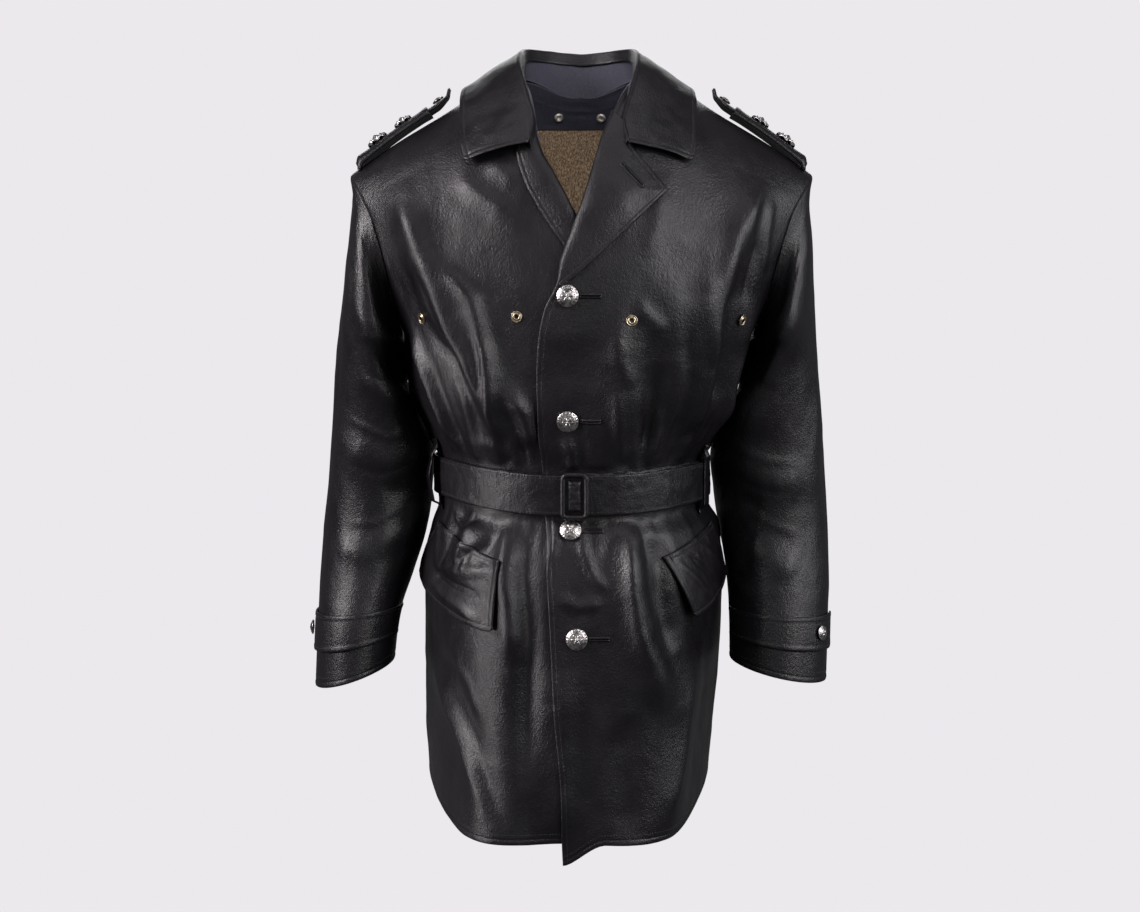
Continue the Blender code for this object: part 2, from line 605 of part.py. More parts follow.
def back_panel():
    around = back_arounds()
    level = np.repeat(LEVELS[:, None], around.shape[1], 1)
    level = np.where(level > 1, 1 + (level - 1) * (back_neck_level(around) - 1), level)
    level = level + hem_rise(around, level)
    outer = coat(around, level)
    walls = body_normal(around, level)
    walls[len(LOW_LEVELS):, 0] = armhole_walls(1, armhole_column(True))[0]
    walls[len(LOW_LEVELS):, -1] = armhole_walls(-1, armhole_column(True))[0]
    outer = inset(outer)
    add_sheet("back", outer, outer - WALL * walls, BLACK_LEATHER)


def sleeve_half(name, side, turns):
    turn = np.arange(turns[0], turns[1] + 1)[None, :]
    length = np.array(SLEEVE_LENGTHS)[:, None]
    outer = sleeve(side, turn, length)
    walls = sleeve_normal(side, turn, length)
    walls[0] = armhole_walls(side, turn[0])[1]
    outer[:, 0] += unit(outer[:, 1] - outer[:, 0]) * GAP / 2
    outer[:, -1] += unit(outer[:, -2] - outer[:, -1]) * GAP / 2
    add_sheet(name, outer, outer - WALL * walls, BLACK_LEATHER)


# Lapels, from where they break at the front edge up to the collar: x and z of the roll line
# and x and z of the outer edge, seen from the front.
LEFT_LAPEL = (
    (-0.016, -0.213, -0.013, -0.221),
    (-0.012, -0.191, 0.004, -0.207),
    (-0.002, -0.165, 0.036, -0.178),
    (0.006, -0.143, 0.070, -0.146),
    (0.013, -0.122, 0.103, -0.114),
    (0.022, -0.092, 0.086, -0.092),
    (0.034, -0.052, 0.065, -0.068),
    (0.044, -0.026, 0.066, -0.052),
)
RIGHT_LAPEL = (
    (0.010, -0.163, 0.006, -0.190),
    (0.004, -0.144, -0.009, -0.176),
    (-0.008, -0.121, -0.024, -0.155),
    (-0.021, -0.096, -0.038, -0.133),
    (-0.033, -0.076, -0.051, -0.110),
    (-0.039, -0.062, -0.060, -0.086),
    (-0.043, -0.048, -0.063, -0.072),
    (-0.046, -0.030, -0.061, -0.052),
)
LAPEL_WALL = 0.0016
LAPEL_ROLL = 0.0050
TRIM_GAP = 0.0010


def lapel(name, side):
    rows = np.array(LEFT_LAPEL if side > 0 else RIGHT_LAPEL)
    across = np.linspace(0, 1, 6)
    x = rows[:, :1] + (rows[:, 2:3] - rows[:, :1]) * across
    z = rows[:, 1:2] + (rows[:, 3:4] - rows[:, 1:2]) * across
    around, level = front_place(x.ravel(), z.ravel())
    around, level = around.reshape(x.shape), level.reshape(x.shape)
    width = np.hypot(rows[:, 2] - rows[:, 0], rows[:, 3] - rows[:, 1])
    roll = LAPEL_ROLL * np.minimum(width / 0.08, 1)[:, None] * np.sin(np.pi * across**0.7)
    lift = (overlap_lift(around, level) if side > 0 else 0) + TRIM_GAP + roll
    inner = coat(around, level, lift)
    outer = coat(around, level, lift + LAPEL_WALL)
    add_sheet(name, outer, inner, BLACK_LEATHER)


# Collar, from the back centre forwards: the fold line, then the leaf's outer edge
COLLAR_MIDDLE = 0.006
COLLAR_FOLD = (
    (0.000, 0.079, 0.057), (0.036, 0.070, 0.059), (0.064, 0.038, 0.058), (0.071, -0.002, 0.050),
    (0.071, -0.036, 0.036), (0.065, -0.063, 0.014), (0.057, -0.086, -0.012), (0.051, -0.106, -0.036),
    (0.056, -0.122, -0.060),
)
COLLAR_EDGE = (
    (0.000, 0.100, -0.006), (0.060, 0.096, -0.006), (0.108, 0.074, -0.004), (0.129, 0.034, 0.008),
    (0.134, -0.010, 0.008), (0.135, -0.048, -0.010), (0.134, -0.076, -0.038), (0.132, -0.096, -0.058),
    (0.127, -0.112, -0.080),
)
COLLAR_BULGE = 0.0035
STAND_DROP = 0.0032


def mirrored(half):
    """Both halves of a line, from the wearer's right to the left, about the collar's middle."""
    half = np.asarray(half, float)
    other = half[:0:-1] * (-1, 1, 1)
    return np.concatenate([other, half]) + (COLLAR_MIDDLE, 0, 0)


def grid_normals(grid, outward):
    """Normals of a grid, all on the side that the direction outward points to."""
    along = np.gradient(grid, axis=0)
    across = np.gradient(grid, axis=1)
    normal = unit(np.cross(along, across))
    turn = np.sign((normal * outward).sum(-1, keepdims=True))
    return normal * np.where(turn == 0, 1, turn)


def collar_leaf():
    fold, edge = mirrored(COLLAR_FOLD), mirrored(COLLAR_EDGE)
    down = np.linspace(0, 1, 7)[:, None, None]
    away = unit((edge + fold) / 2 * (1, 1, 0) - (COLLAR_MIDDLE, -0.02, 0))
    bulge = unit(away + (0, 0, 0.8))
    rise = COLLAR_BULGE * np.sin(np.pi * down**0.8)
    outer = fold + (edge - fold) * down + bulge * rise
    walls = grid_normals(outer, bulge)
    add_sheet("collar_fall", outer, outer - WALL * walls, BLACK_LEATHER)


def neckline():
    """The neck edge of the body, from the wearer's right front round the back to the left."""
    front_levels = HIGH_LEVELS[-6:-1]
    right = coat(front_edge(-1, front_levels), front_levels)
    left_edge = front_edge(1, front_levels)
    left = coat(left_edge, front_levels, overlap_lift(left_edge, front_levels))
    around = np.linspace(4 - NECK_AROUND, 4 + NECK_AROUND, 5)[::-1]
    return np.concatenate([right, coat(around, back_neck_level(around)), left[::-1]])


def collar_stand():
    low = neckline()
    top = mirrored(COLLAR_FOLD)[1:-1] - (0, 0, STAND_DROP)
    centre = np.array([COLLAR_MIDDLE, -0.02, 0])
    low = low + unit((centre - low) * (1, 1, 0)) * GAP
    top = top + unit((centre - top) * (1, 1, 0)) * 2 * GAP
    up = np.linspace(0, 1, 4)[:, None, None]
    outer = low + (top - low) * up
    walls = grid_normals(outer, (outer - centre) * (1, 1, 0))
    add_sheet("collar_stand", outer, outer - WALL * walls, NAVY_CLOTH)


def inside_back(name, around, level, gap, settings):
    outer = coat(around, level, -WALL - gap)
    inner = coat(around, level, -WALL - gap - LINING_WALL)
    add_sheet(name, outer, inner, settings)


INSIDE_GAP = 0.0052
FACING_GAP = 0.0062
FACING_LOW = 1.584
LINING_LEVELS = (0.74, 1.574)


def neck_facing():
    around = np.linspace(3.40, 4.60, 9)[None, :]
    top = back_neck_level(around) - 0.035 - 0.13 * ease((np.abs(around - 4) - 0.15) / 0.3)
    up = np.linspace(0, 1, 4)[:, None]
    inside_back("neck_facing", around, FACING_LOW + (top - FACING_LOW) * up, FACING_GAP, NAVY_CLOTH)


def lining_back():
    around = np.linspace(2.80, 5.20, 13)[None, :]
    level = np.linspace(*LINING_LEVELS, 14)[:, None]
    around, level = np.broadcast_arrays(around, level)
    inside_back("lining_back", around, level, INSIDE_GAP, BROWN_WOOL)


# Belt, its buckle and its two loops

BELT_MIDDLE = (BELT_LOW + BELT_HIGH) / 2
BELT_HALF = 0.023
BELT_WALL = 0.0034
BELT_REST = 0.0014
BELT_START = 0.10
BELT_END = 8 + 1.78
BELT_OVER = BELT_REST + BELT_WALL + 0.0006
LOOP_AROUND = (1.62, -1.72)
LOOP_SLACK = (0.0, 0.006)
LOOP_HALF = 0.0065
LOOP_WALL = 0.0022


def belt_rest(around):
    """How far the belt's inner face is from the coat's surface, on its first and second turn."""
    second = ease((np.asarray(around, float) - 7.3) / 0.5)
    return overlap_lift(around, 0.6) + BELT_REST + second * (BELT_WALL + 0.0006)


def belt():
    around = np.linspace(BELT_START, BELT_END, 73)[None, :]
    level = z_level(BELT_MIDDLE + belt_line(around) + BELT_HALF * np.array([[-1], [1]]))
    inner = coat(around, level, belt_rest(around))
    outer = coat(around, level, belt_rest(around) + BELT_WALL)
    add_sheet("belt", outer, inner, BLACK_LEATHER)


def tube(name, path, radius, sides, settings, up):
    """A closed ring of round section along a path of points."""
    path = np.asarray(path, float)
    heading = unit(np.roll(path, -1, 0) - np.roll(path, 1, 0))
    across = unit(np.cross(heading, up))
    angle = 2 * np.pi * np.arange(sides) / sides
    points = path[:, None] + radius * (
        np.cos(angle)[None, :, None] * across[:, None] + np.sin(angle)[None, :, None] * up
    )
    index = np.arange(len(path) * sides).reshape(len(path), sides)
    ahead, beside = np.roll(index, -1, 0), np.roll(index, -1, 1)
    faces = quads(index, ahead, np.roll(ahead, -1, 1), beside)
    add_solid(name, points.reshape(-1, 3), faces, settings)


BUCKLE_HALF = (0.0130, 0.0245)
BUCKLE_RADIUS = 0.0028
BUCKLE_CORNER = 0.006


def buckle():
    wide, tall = BUCKLE_HALF
    path = []
    for index in range(4):
        sx, sz = ((1, 1), (-1, 1), (-1, -1), (1, -1))[index]
        for step in range(3):
            angle = math.radians(90 * index + 45 * step)
            x = sx * (wide - BUCKLE_CORNER) + BUCKLE_CORNER * math.cos(angle)
            z = sz * (tall - BUCKLE_CORNER) + BUCKLE_CORNER * math.sin(angle)
            path.append((x, z))
    offsets = np.array(path)
    around, _ = front_place(0.0015 + offsets[:, 0], np.full(len(offsets), BELT_MIDDLE))
    out = OVERLAP_LIFT + BELT_OVER + BELT_WALL + 0.0008 + BUCKLE_RADIUS
    points = coat(around, z_level(BELT_MIDDLE + offsets[:, 1]), out)
    points[:, 1] = points[:, 1].min()
    tube("buckle", points, BUCKLE_RADIUS, 8, BLACK_LEATHER, np.array([0.0, -1.0, 0.0]))


def belt_loop(name, middle, slack):
    stand = float(belt_rest(8 + middle if middle > 0 else middle)) + BELT_WALL + 0.0008 + slack
    heights = np.array([-0.405, -0.413, -0.4205, -0.450, -0.4795, -0.484, -0.490]) + belt_line(middle)
    inner_out = np.array([0.0014, 0.0018, stand, stand + slack, stand, 0.0018, 0.0014])
    outer_heights = heights + LOOP_WALL * 0.7 * np.array([0, 1, 1, 0, -1, -1, 0])
    half = LOOP_HALF / FOLD_SCALE_AROUND
    around = middle + half * np.array([-1.0, 0.0, 1.0])[None, :]
    inner = coat(around, z_level(heights)[:, None], inner_out[:, None])
    outer = coat(around, z_level(outer_heights)[:, None], inner_out[:, None] + LOOP_WALL)
    add_sheet(name, outer, inner, BLACK_LEATHER)


# Pocket flaps: their four corners as around and z, from the top inner one to the top outer one
# and back below, and how far the inner and the outer corner of the free edge lift.
FLAP_WALL = 0.0024
FLAP_REST = 0.0004
LEFT_FLAP = ((0.90, -0.520), (1.68, -0.496), (1.86, -0.562), (1.18, -0.592))
RIGHT_FLAP = ((-0.68, -0.524), (-1.62, -0.494), (-1.97, -0.562), (-0.74, -0.602))
LEFT_FLAP_LIFT = (0.0080, 0.0020)
RIGHT_FLAP_LIFT = (0.0040, 0.0030)


def pocket_flap(name, corners, lifts):
    top_inner, top_outer, bottom_outer, bottom_inner = (np.array(c) for c in corners)
    down = np.linspace(0, 1, 6)[:, None, None]
    across = np.linspace(0, 1, 7)[None, :, None]
    top = top_inner + (top_outer - top_inner) * across
    bottom = bottom_inner + (bottom_outer - bottom_inner) * across
    place = top + (bottom - top) * down
    place[..., 1] -= 0.006 * np.sin(np.pi * across[..., 0]) * down[..., 0]
    edge_lift = lifts[0] + (lifts[1] - lifts[0]) * across[..., 0]
    lift = TRIM_GAP + FLAP_REST + down[..., 0] ** 1.5 * edge_lift
    level = z_level(place[..., 1])
    inner = coat(place[..., 0], level, lift)
    outer = coat(place[..., 0], level, lift + FLAP_WALL)
    add_sheet(name, outer, inner, BLACK_LEATHER)


# Cuff straps and everything on the shoulders

STRAP_WALL = 0.0022
STRAP_LENGTHS = (8.76, 9.42)
STRAP_TURNS = {1: (-0.4, 11.2), -1: (-2.0, 11.2)}
CUFF_BUTTON_TURN = {1: 3.0, -1: 0.4}


def cuff_strap(name, side):
    first, last = STRAP_TURNS[side]
    turn = np.linspace(first, last, 14)[None, :]
    middle = sum(STRAP_LENGTHS) / 2
    half = (STRAP_LENGTHS[1] - STRAP_LENGTHS[0]) / 2
    taper = 0.30 + 0.70 * ease((turn - first) / 1.1 + 0.12)
    length = middle + half * taper * np.array([-1.0, 1.0])[:, None]
    turn = np.broadcast_to(turn, length.shape)
    inner = sleeve(side, turn, length, TRIM_GAP)
    outer = sleeve(side, turn, length, TRIM_GAP + STRAP_WALL)
    add_sheet(name, outer, inner, BLACK_LEATHER)


EPAULETTE_ENDS = (0.2610, 0.142)
EPAULETTE_HALF = 0.023
EPAULETTE_WALL = 0.0026
EPAULETTE_REST = 0.0004
EPAULETTE_STEP = (0.0060, 0.008)
EPAULETTE_RISE = 0.0080
EPAULETTE_ARCH = 0.0010
EPAULETTE_CURL = (0.0060, 0.008)
SHOULDER_ROUND = 0.060
SLIDE_ENDS = (0.2520, 0.172)
SLIDE_HALF = 0.0265
SLIDE_WALL = 0.0014
SLIDE_GAP = 0.0008


def shoulder_top(side, x, w, out):
    """A point above the shoulder seam: x along the shoulder, w across it, out above it."""
    x, w, out = np.broadcast_arrays(*(np.asarray(k, float) for k in (x, w, out)))
    ridge_z = smooth(SHOULDER_X, SHOULDER_Z, x)
    ridge_y = smooth(SHOULDER_X, SHOULDER_Y, x)
    slope = (smooth(SHOULDER_X, SHOULDER_Z, x + 0.003) - smooth(SHOULDER_X, SHOULDER_Z, x - 0.003)) / 0.006
    tilt = np.arctan(slope)
    lift = out - w**2 / (2 * SHOULDER_ROUND)
    return np.stack(
        [SHOULDER_MIDDLE + side * (x - lift * np.sin(tilt)), ridge_y + w, ridge_z + lift * np.cos(tilt)], -1
    )


def epaulette_out(x):
    """How far the epaulette's lower face is above the shoulder seam."""
    t = np.clip((x - EPAULETTE_ENDS[0]) / (EPAULETTE_ENDS[1] - EPAULETTE_ENDS[0]), 0, 1)
    height, reach = EPAULETTE_STEP
    step = height * ease((EPAULETTE_ENDS[0] - x) / reach)
    curl = EPAULETTE_CURL[0] * ease(1 - (x - EPAULETTE_ENDS[1]) / EPAULETTE_CURL[1])
    return EPAULETTE_REST + step + EPAULETTE_RISE * t + EPAULETTE_ARCH * np.sin(np.pi * t) + curl


def epaulette_normal(side, x):
    """The direction in which the epaulette faces at a place along it."""
    ahead = shoulder_top(side, x + 0.004, 0, epaulette_out(x + 0.004))
    behind = shoulder_top(side, x - 0.004, 0, epaulette_out(x - 0.004))
    return side * np.cross(ahead - behind, (0, 1, 0))


def epaulette(name, side):
    outer_end, inner_end = EPAULETTE_ENDS
    seam_end = outer_end - np.array([0, 0.004, 0.008])
    tip = inner_end + np.array([0.004, 0])
    x = np.concatenate([seam_end, np.linspace(outer_end - 0.012, inner_end + 0.009, 7), tip])
    half = EPAULETTE_HALF * (1 - 0.72 * ease((0.164 - x) / 0.026))
    w = half * np.linspace(-1, 1, 5)[:, None]
    inner = shoulder_top(side, x, w, epaulette_out(x))
    outer = shoulder_top(side, x, w, epaulette_out(x) + EPAULETTE_WALL)
    add_sheet(name, outer, inner, BLACK_LEATHER)


def rank_slide(name, side):
    """A flat tube of leather round the outer end of the epaulette."""
    x = np.linspace(*SLIDE_ENDS, 5)
    base = epaulette_out(x)
    across = np.linspace(-1, 1, 5)
    rings = []
    for grown in (SLIDE_WALL, 0.0):
        half = SLIDE_HALF - SLIDE_WALL + grown
        low = [shoulder_top(side, x, half * k, base - SLIDE_GAP - grown) for k in across]
        top = base + EPAULETTE_WALL + SLIDE_GAP + grown
        high = [shoulder_top(side, x, half * k, top) for k in across[::-1]]
        rings.append(np.stack(low + high, 1))
    outer, inner = rings
    stations, around = outer.shape[:2]
    index = np.arange(stations * around).reshape(stations, around)
    within = index + stations * around
    turned, turned_within = np.roll(index, -1, 1), np.roll(within, -1, 1)
    faces = [
        quads(index[:-1], index[1:], turned[1:], turned[:-1]),
        quads(within[1:], within[:-1], turned_within[:-1], turned_within[1:]),
        quads(turned[0], index[0], within[0], turned_within[0])[:, ::-1],
        quads(index[-1], turned[-1], turned_within[-1], within[-1])[:, ::-1],
    ]
    points = np.concatenate([outer.reshape(-1, 3), inner.reshape(-1, 3)])
    add_solid(name, points, np.concatenate(faces), BLACK_LEATHER)


# Round metal pieces: radius and height of each point of the profile, from the axis out

BUTTON_PROFILE = (
    (0.0, 0.0002), (0.0030, 0.0002), (0.0032, 0.0014), (0.0108, 0.0016), (0.0122, 0.0028),
    (0.0119, 0.0040), (0.0096, 0.0056), (0.0050, 0.0068), (0.0, 0.0072),
)
PIP_PROFILE = (
    (0.0, 0.0004), (0.0082, 0.0004), (0.0090, 0.0014), (0.0062, 0.0030), (0.0052, 0.0052),
    (0.0026, 0.0072), (0.0, 0.0076),
)
SNAP_PROFILE = ((0.0, 0.0002), (0.0050, 0.0002), (0.0055, 0.0010), (0.0045, 0.0020), (0.0, 0.0024))
EYELET_PROFILE = ((0.0026, 0.0006), (0.0060, 0.0006), (0.0054, 0.0016), (0.0034, 0.0018))


def frame_at(place, direction):
    """Two directions across a given one."""
    direction = unit(np.asarray(direction, float))
    across = unit(np.cross((0.0, 0.3, 1.0), direction))
    return np.asarray(place, float), across, np.cross(direction, across), direction


def lathe(name, profile, place, direction, settings, scale=1.0, sides=14):
    """A turned piece. The profile runs from axis to axis, or closes on itself to leave a hole."""
    origin, across, up, axis = frame_at(place, direction)
    angle = 2 * np.pi * np.arange(sides) / sides
    ring = np.cos(angle)[:, None] * across + np.sin(angle)[:, None] * up
    solid = profile[0][0] == 0
    inner = profile[1:-1] if solid else profile
    points = [origin + scale * (r * ring + h * axis) for r, h in inner]
    index = np.arange(len(inner) * sides).reshape(len(inner), sides)
    turned = np.roll(index, -1, 1)
    if solid:
        points += [(origin + scale * profile[end][1] * axis)[None] for end in (0, -1)]
        low, top = len(inner) * sides, len(inner) * sides + 1
        faces = [
            quads(index[:-1], turned[:-1], turned[1:], index[1:]),
            np.stack([np.full(sides, low), turned[0], index[0]], -1),
            np.stack([np.full(sides, top), index[-1], turned[-1]], -1),
        ]
    else:
        ahead = np.roll(index, -1, 0)
        faces = [quads(index, turned, np.roll(ahead, -1, 1), ahead)]
    add_solid(name, np.concatenate(points), np.concatenate(faces), settings)


FRONT_BUTTONS = ((-0.006, -0.229), (-0.006, -0.365), (-0.003, -0.492), (0.004, -0.607))
EYELETS = (
    (-0.062, -0.251, 0.0002),
    (0.063, -0.255, 0.0002),
    (0.187, -0.255, 0.0010),
    (-0.172, -0.255, 0.0002),
)
HOLE_REACH = (0.0135, 0.0360)
HOLE_HALF = 0.0022
HOLE_WALL = 0.0008
BUTTON_LIFT = 0.0006
LAPEL_BUTTON_LIFT = 0.0012
HOLE_LIFT = 0.0008
LAPEL_HOLE_LIFT = 0.0067
METAL_LIFT = 0.0004
CUFF_BUTTON_LENGTH = 9.08
CUFF_BUTTON_SIZE = 0.72
BUTTON_ON_SHOULDER = 0.158
SHOULDER_BUTTON_SIZE = 0.62
# The badges on each shoulder: place along it and size
INSIGNIA = ((0.230, 1.5), (0.200, 1.3))
LAPEL_HOLE = ((0.052, -0.088), (0.075, -0.113))
SNAPS = ((-0.018, -0.012), (0.035, -0.012))


def on_front(x, z, out):
    around, level = front_place(x, z)
    lift = out + overlap_lift(around, level) * (around > front_edge(1, level))
    return coat(around, level, lift)[0], body_normal(around, level)[0]


def bound_slit(name, start, end, out):
    """The bound edges of a buttonhole: a flat bar lying on the leather."""
    start, end = np.array(start), np.array(end)
    along = (end - start) / np.linalg.norm(end - start)
    across = np.array([-along[1], along[0]])
    t = np.linspace(0, 1, 4)[None, :, None]
    seen = start + (end - start) * t + across * HOLE_HALF * np.array([-1.0, 1.0])[:, None, None]
    around, level = front_place(seen[..., 0].ravel(), seen[..., 1].ravel())
    lift = out + overlap_lift(around, level)
    inner = coat(around, level, lift).reshape(*seen.shape[:2], 3)
    outer = coat(around, level, lift + HOLE_WALL).reshape(*seen.shape[:2], 3)
    add_sheet(name, outer, inner, BLACK_LEATHER)


def sewn_on(name, size, place, facing):
    """A button or badge and its size beside the first of its kind."""
    profile, sides = (PIP_PROFILE, 10) if name.startswith("insignia") else (BUTTON_PROFILE, 12)
    lathe(name, profile, place, facing, PEWTER, size, sides)


def front_fastenings():
    for number, (x, z) in enumerate(FRONT_BUTTONS, 1):
        on_lapel = LAPEL_BUTTON_LIFT if number == 1 else 0.0
        lathe(f"button_{number}", BUTTON_PROFILE, *on_front(x, z, BUTTON_LIFT + on_lapel), PEWTER)
        hole = (x + HOLE_REACH[0], z), (x + HOLE_REACH[1], z)
        bound_slit(f"buttonhole_{number}", *hole, HOLE_LIFT)
    bound_slit("buttonhole_5", *LAPEL_HOLE, LAPEL_HOLE_LIFT)
    for number, (x, z, out) in enumerate(EYELETS, 1):
        lathe(f"eyelet_{number}", EYELET_PROFILE, *on_front(x, z, out), BRASS)
    for number, (x, z) in enumerate(SNAPS, 1):
        around, level = front_place(x, z, back=True)
        place = coat(around, level, -WALL - FACING_GAP - LINING_WALL - GAP)[0]
        lathe(f"snap_{number}", SNAP_PROFILE, place, -body_normal(around, level)[0], PEWTER, 1.0, 10)


def side_fastenings(side, word):
    turn = CUFF_BUTTON_TURN[side]
    place = sleeve(side, turn, CUFF_BUTTON_LENGTH, TRIM_GAP + STRAP_WALL + METAL_LIFT)
    facing = sleeve_normal(side, turn, CUFF_BUTTON_LENGTH)
    sewn_on(f"cuff_button_{word}", CUFF_BUTTON_SIZE, place, facing)
    x = BUTTON_ON_SHOULDER
    place = shoulder_top(side, x, 0, epaulette_out(x) + EPAULETTE_WALL + METAL_LIFT)
    sewn_on(f"epaulette_button_{word}", SHOULDER_BUTTON_SIZE, place, epaulette_normal(side, x))
    for number, (x, size) in enumerate(INSIGNIA, 1):
        lifted = EPAULETTE_WALL + SLIDE_GAP + SLIDE_WALL + GAP
        place = shoulder_top(side, x, 0, epaulette_out(x) + lifted)
        sewn_on(f"insignia_{word}_{number}", size, place, epaulette_normal(side, x))


def clear_scene():
    for existing in list(bpy.data.objects):
        bpy.data.objects.remove(existing, do_unlink=True)


clear_scene()
back_panel()
front_panel("front_left", 1)
front_panel("front_right", -1)
for side, word in ((1, "left"), (-1, "right")):
    sleeve_half(f"sleeve_{word}_front", side, FRONT_TURNS)
    sleeve_half(f"sleeve_{word}_back", side, BACK_TURNS)
    lapel(f"lapel_{word}", side)
    cuff_strap(f"cuff_strap_{word}", side)
    epaulette(f"epaulette_{word}", side)
    rank_slide(f"rank_slide_{word}", side)
    side_fastenings(side, word)
collar_leaf()
collar_stand()
neck_facing()
lining_back()
belt()
buckle()
belt_loop("belt_loop_left", LOOP_AROUND[0], LOOP_SLACK[0])
belt_loop("belt_loop_right", LOOP_AROUND[1], LOOP_SLACK[1])
pocket_flap("pocket_flap_left", LEFT_FLAP, LEFT_FLAP_LIFT)
pocket_flap("pocket_flap_right", RIGHT_FLAP, RIGHT_FLAP_LIFT)
front_fastenings()
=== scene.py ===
"""The looks of a firefighter officer's coat in black leather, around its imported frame.

+Z is up, the front of the coat is towards -Y and the wearer's left is at +X. Lengths are in
metres. The surface functions repeat the named values of the coat's construction, so every
panel lies on its own solid's form. Around runs from 0 at the front centre through 2 at the
wearer's left side seam to 4 at the back centre, and is negative on the wearer's right. Level
runs from 0 at the hem through 1 at the armpits to 2 at the shoulder seams.
"""

import math

import bmesh
import bpy
import numpy as np
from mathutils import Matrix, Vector


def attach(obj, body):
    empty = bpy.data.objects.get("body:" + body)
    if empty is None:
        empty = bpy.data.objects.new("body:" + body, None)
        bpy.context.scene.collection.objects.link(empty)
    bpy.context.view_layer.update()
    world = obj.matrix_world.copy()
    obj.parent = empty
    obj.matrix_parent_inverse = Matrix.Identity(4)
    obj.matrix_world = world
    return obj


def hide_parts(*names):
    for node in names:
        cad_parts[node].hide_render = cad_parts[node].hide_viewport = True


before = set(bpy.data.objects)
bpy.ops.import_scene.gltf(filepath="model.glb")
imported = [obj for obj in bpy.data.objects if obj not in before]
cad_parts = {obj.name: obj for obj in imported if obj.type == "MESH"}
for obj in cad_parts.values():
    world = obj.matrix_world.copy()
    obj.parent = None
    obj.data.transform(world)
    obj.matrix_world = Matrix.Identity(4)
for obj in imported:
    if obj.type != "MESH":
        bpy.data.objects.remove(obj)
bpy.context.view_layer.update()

# Leather, seams and layers
WALL = 0.0018
GAP = 0.0003
LINING_WALL = 0.0012

# Levels
HEM_Z = -0.836
CHEST_Z = -0.275

# Plan sections of the body from the hem up to the armpits. The corners are where the front
# and the back turn towards the sides.
SECTION_COLUMNS = (
    "z", "x_middle", "y_front", "x_front_corner", "y_front_corner",
    "x_side", "y_side", "x_back_corner", "y_back_corner", "y_back",
)
SECTIONS = (
    (-0.836, -0.005, -0.180, 0.112, -0.162, 0.173, 0.060, 0.120, 0.152, 0.166),
    (-0.730, -0.003, -0.172, 0.110, -0.150, 0.178, 0.045, 0.122, 0.136, 0.152),
    (-0.630, 0.000, -0.166, 0.113, -0.140, 0.181, 0.030, 0.124, 0.125, 0.143),
    (-0.550, 0.000, -0.156, 0.114, -0.130, 0.180, 0.018, 0.124, 0.116, 0.137),
    (-0.500, 0.001, -0.142, 0.106, -0.117, 0.171, 0.012, 0.114, 0.099, 0.118),
    (-0.476, -0.001, -0.131, 0.099, -0.107, 0.161, 0.012, 0.105, 0.089, 0.106),
    (-0.424, -0.001, -0.131, 0.099, -0.107, 0.161, 0.012, 0.105, 0.089, 0.106),
    (-0.392, -0.001, -0.140, 0.106, -0.115, 0.170, 0.008, 0.112, 0.098, 0.115),
    (-0.335, 0.001, -0.150, 0.124, -0.125, 0.196, 0.002, 0.130, 0.112, 0.128),
    (-0.275, 0.006, -0.152, 0.145, -0.122, 0.207, -0.002, 0.145, 0.113, 0.132),
)

# The shoulder seam, where front and back meet: distance from the middle, height and depth
SHOULDER_X = (0.000, 0.080, 0.165, 0.215, 0.262, 0.300)
SHOULDER_Z = (0.052, 0.030, -0.022, -0.052, -0.084, -0.112)
SHOULDER_Y = (0.014, 0.014, 0.008, 0.004, 0.000, 0.000)
SHOULDER_SPREAD = 0.52
SHOULDER_MIDDLE = 0.010

# Half the armhole's width, as a distance around from the side, level by level
ARMHOLE_LEVEL = (1.0, 1.083, 1.167, 1.25, 1.333, 1.5, 2.0)
ARMHOLE_HALF = (0.0, 0.30, 0.43, 0.52, 0.58, 0.64, 0.65)
NECK_AROUND = 0.36
BACK_NECK_DROP = 0.318

# Front edges from the hem up to the neck point, as x and z seen from the front. The edge
# of the wearer's left front lies over the other, and each edge ends in the lapel's roll line.
OVER_EDGE = (
    (-0.010, -0.862), (-0.015, -0.771), (-0.023, -0.679), (-0.028, -0.565), (-0.031, -0.475),
    (-0.037, -0.397), (-0.040, -0.342), (-0.039, -0.287), (-0.031, -0.243), (-0.018, -0.216),
    (-0.012, -0.191), (0.008, -0.140), (0.019, -0.103), (0.034, -0.050), (0.055, -0.004),
)
UNDER_EDGE = (
    (0.028, -0.838), (0.028, -0.300), (0.026, -0.220), (0.012, -0.167), (0.005, -0.146),
    (-0.008, -0.121), (-0.021, -0.096), (-0.034, -0.074), (-0.042, -0.048), (-0.050, -0.004),
)
HEM_DIP = 0.043
HEM_DIP_WIDTH = 0.42
HEM_RISE = 0.034
HEM_RISE_WIDTH = 0.95
FOLD_GAIN = 1.5
MM_PER_M = 1000


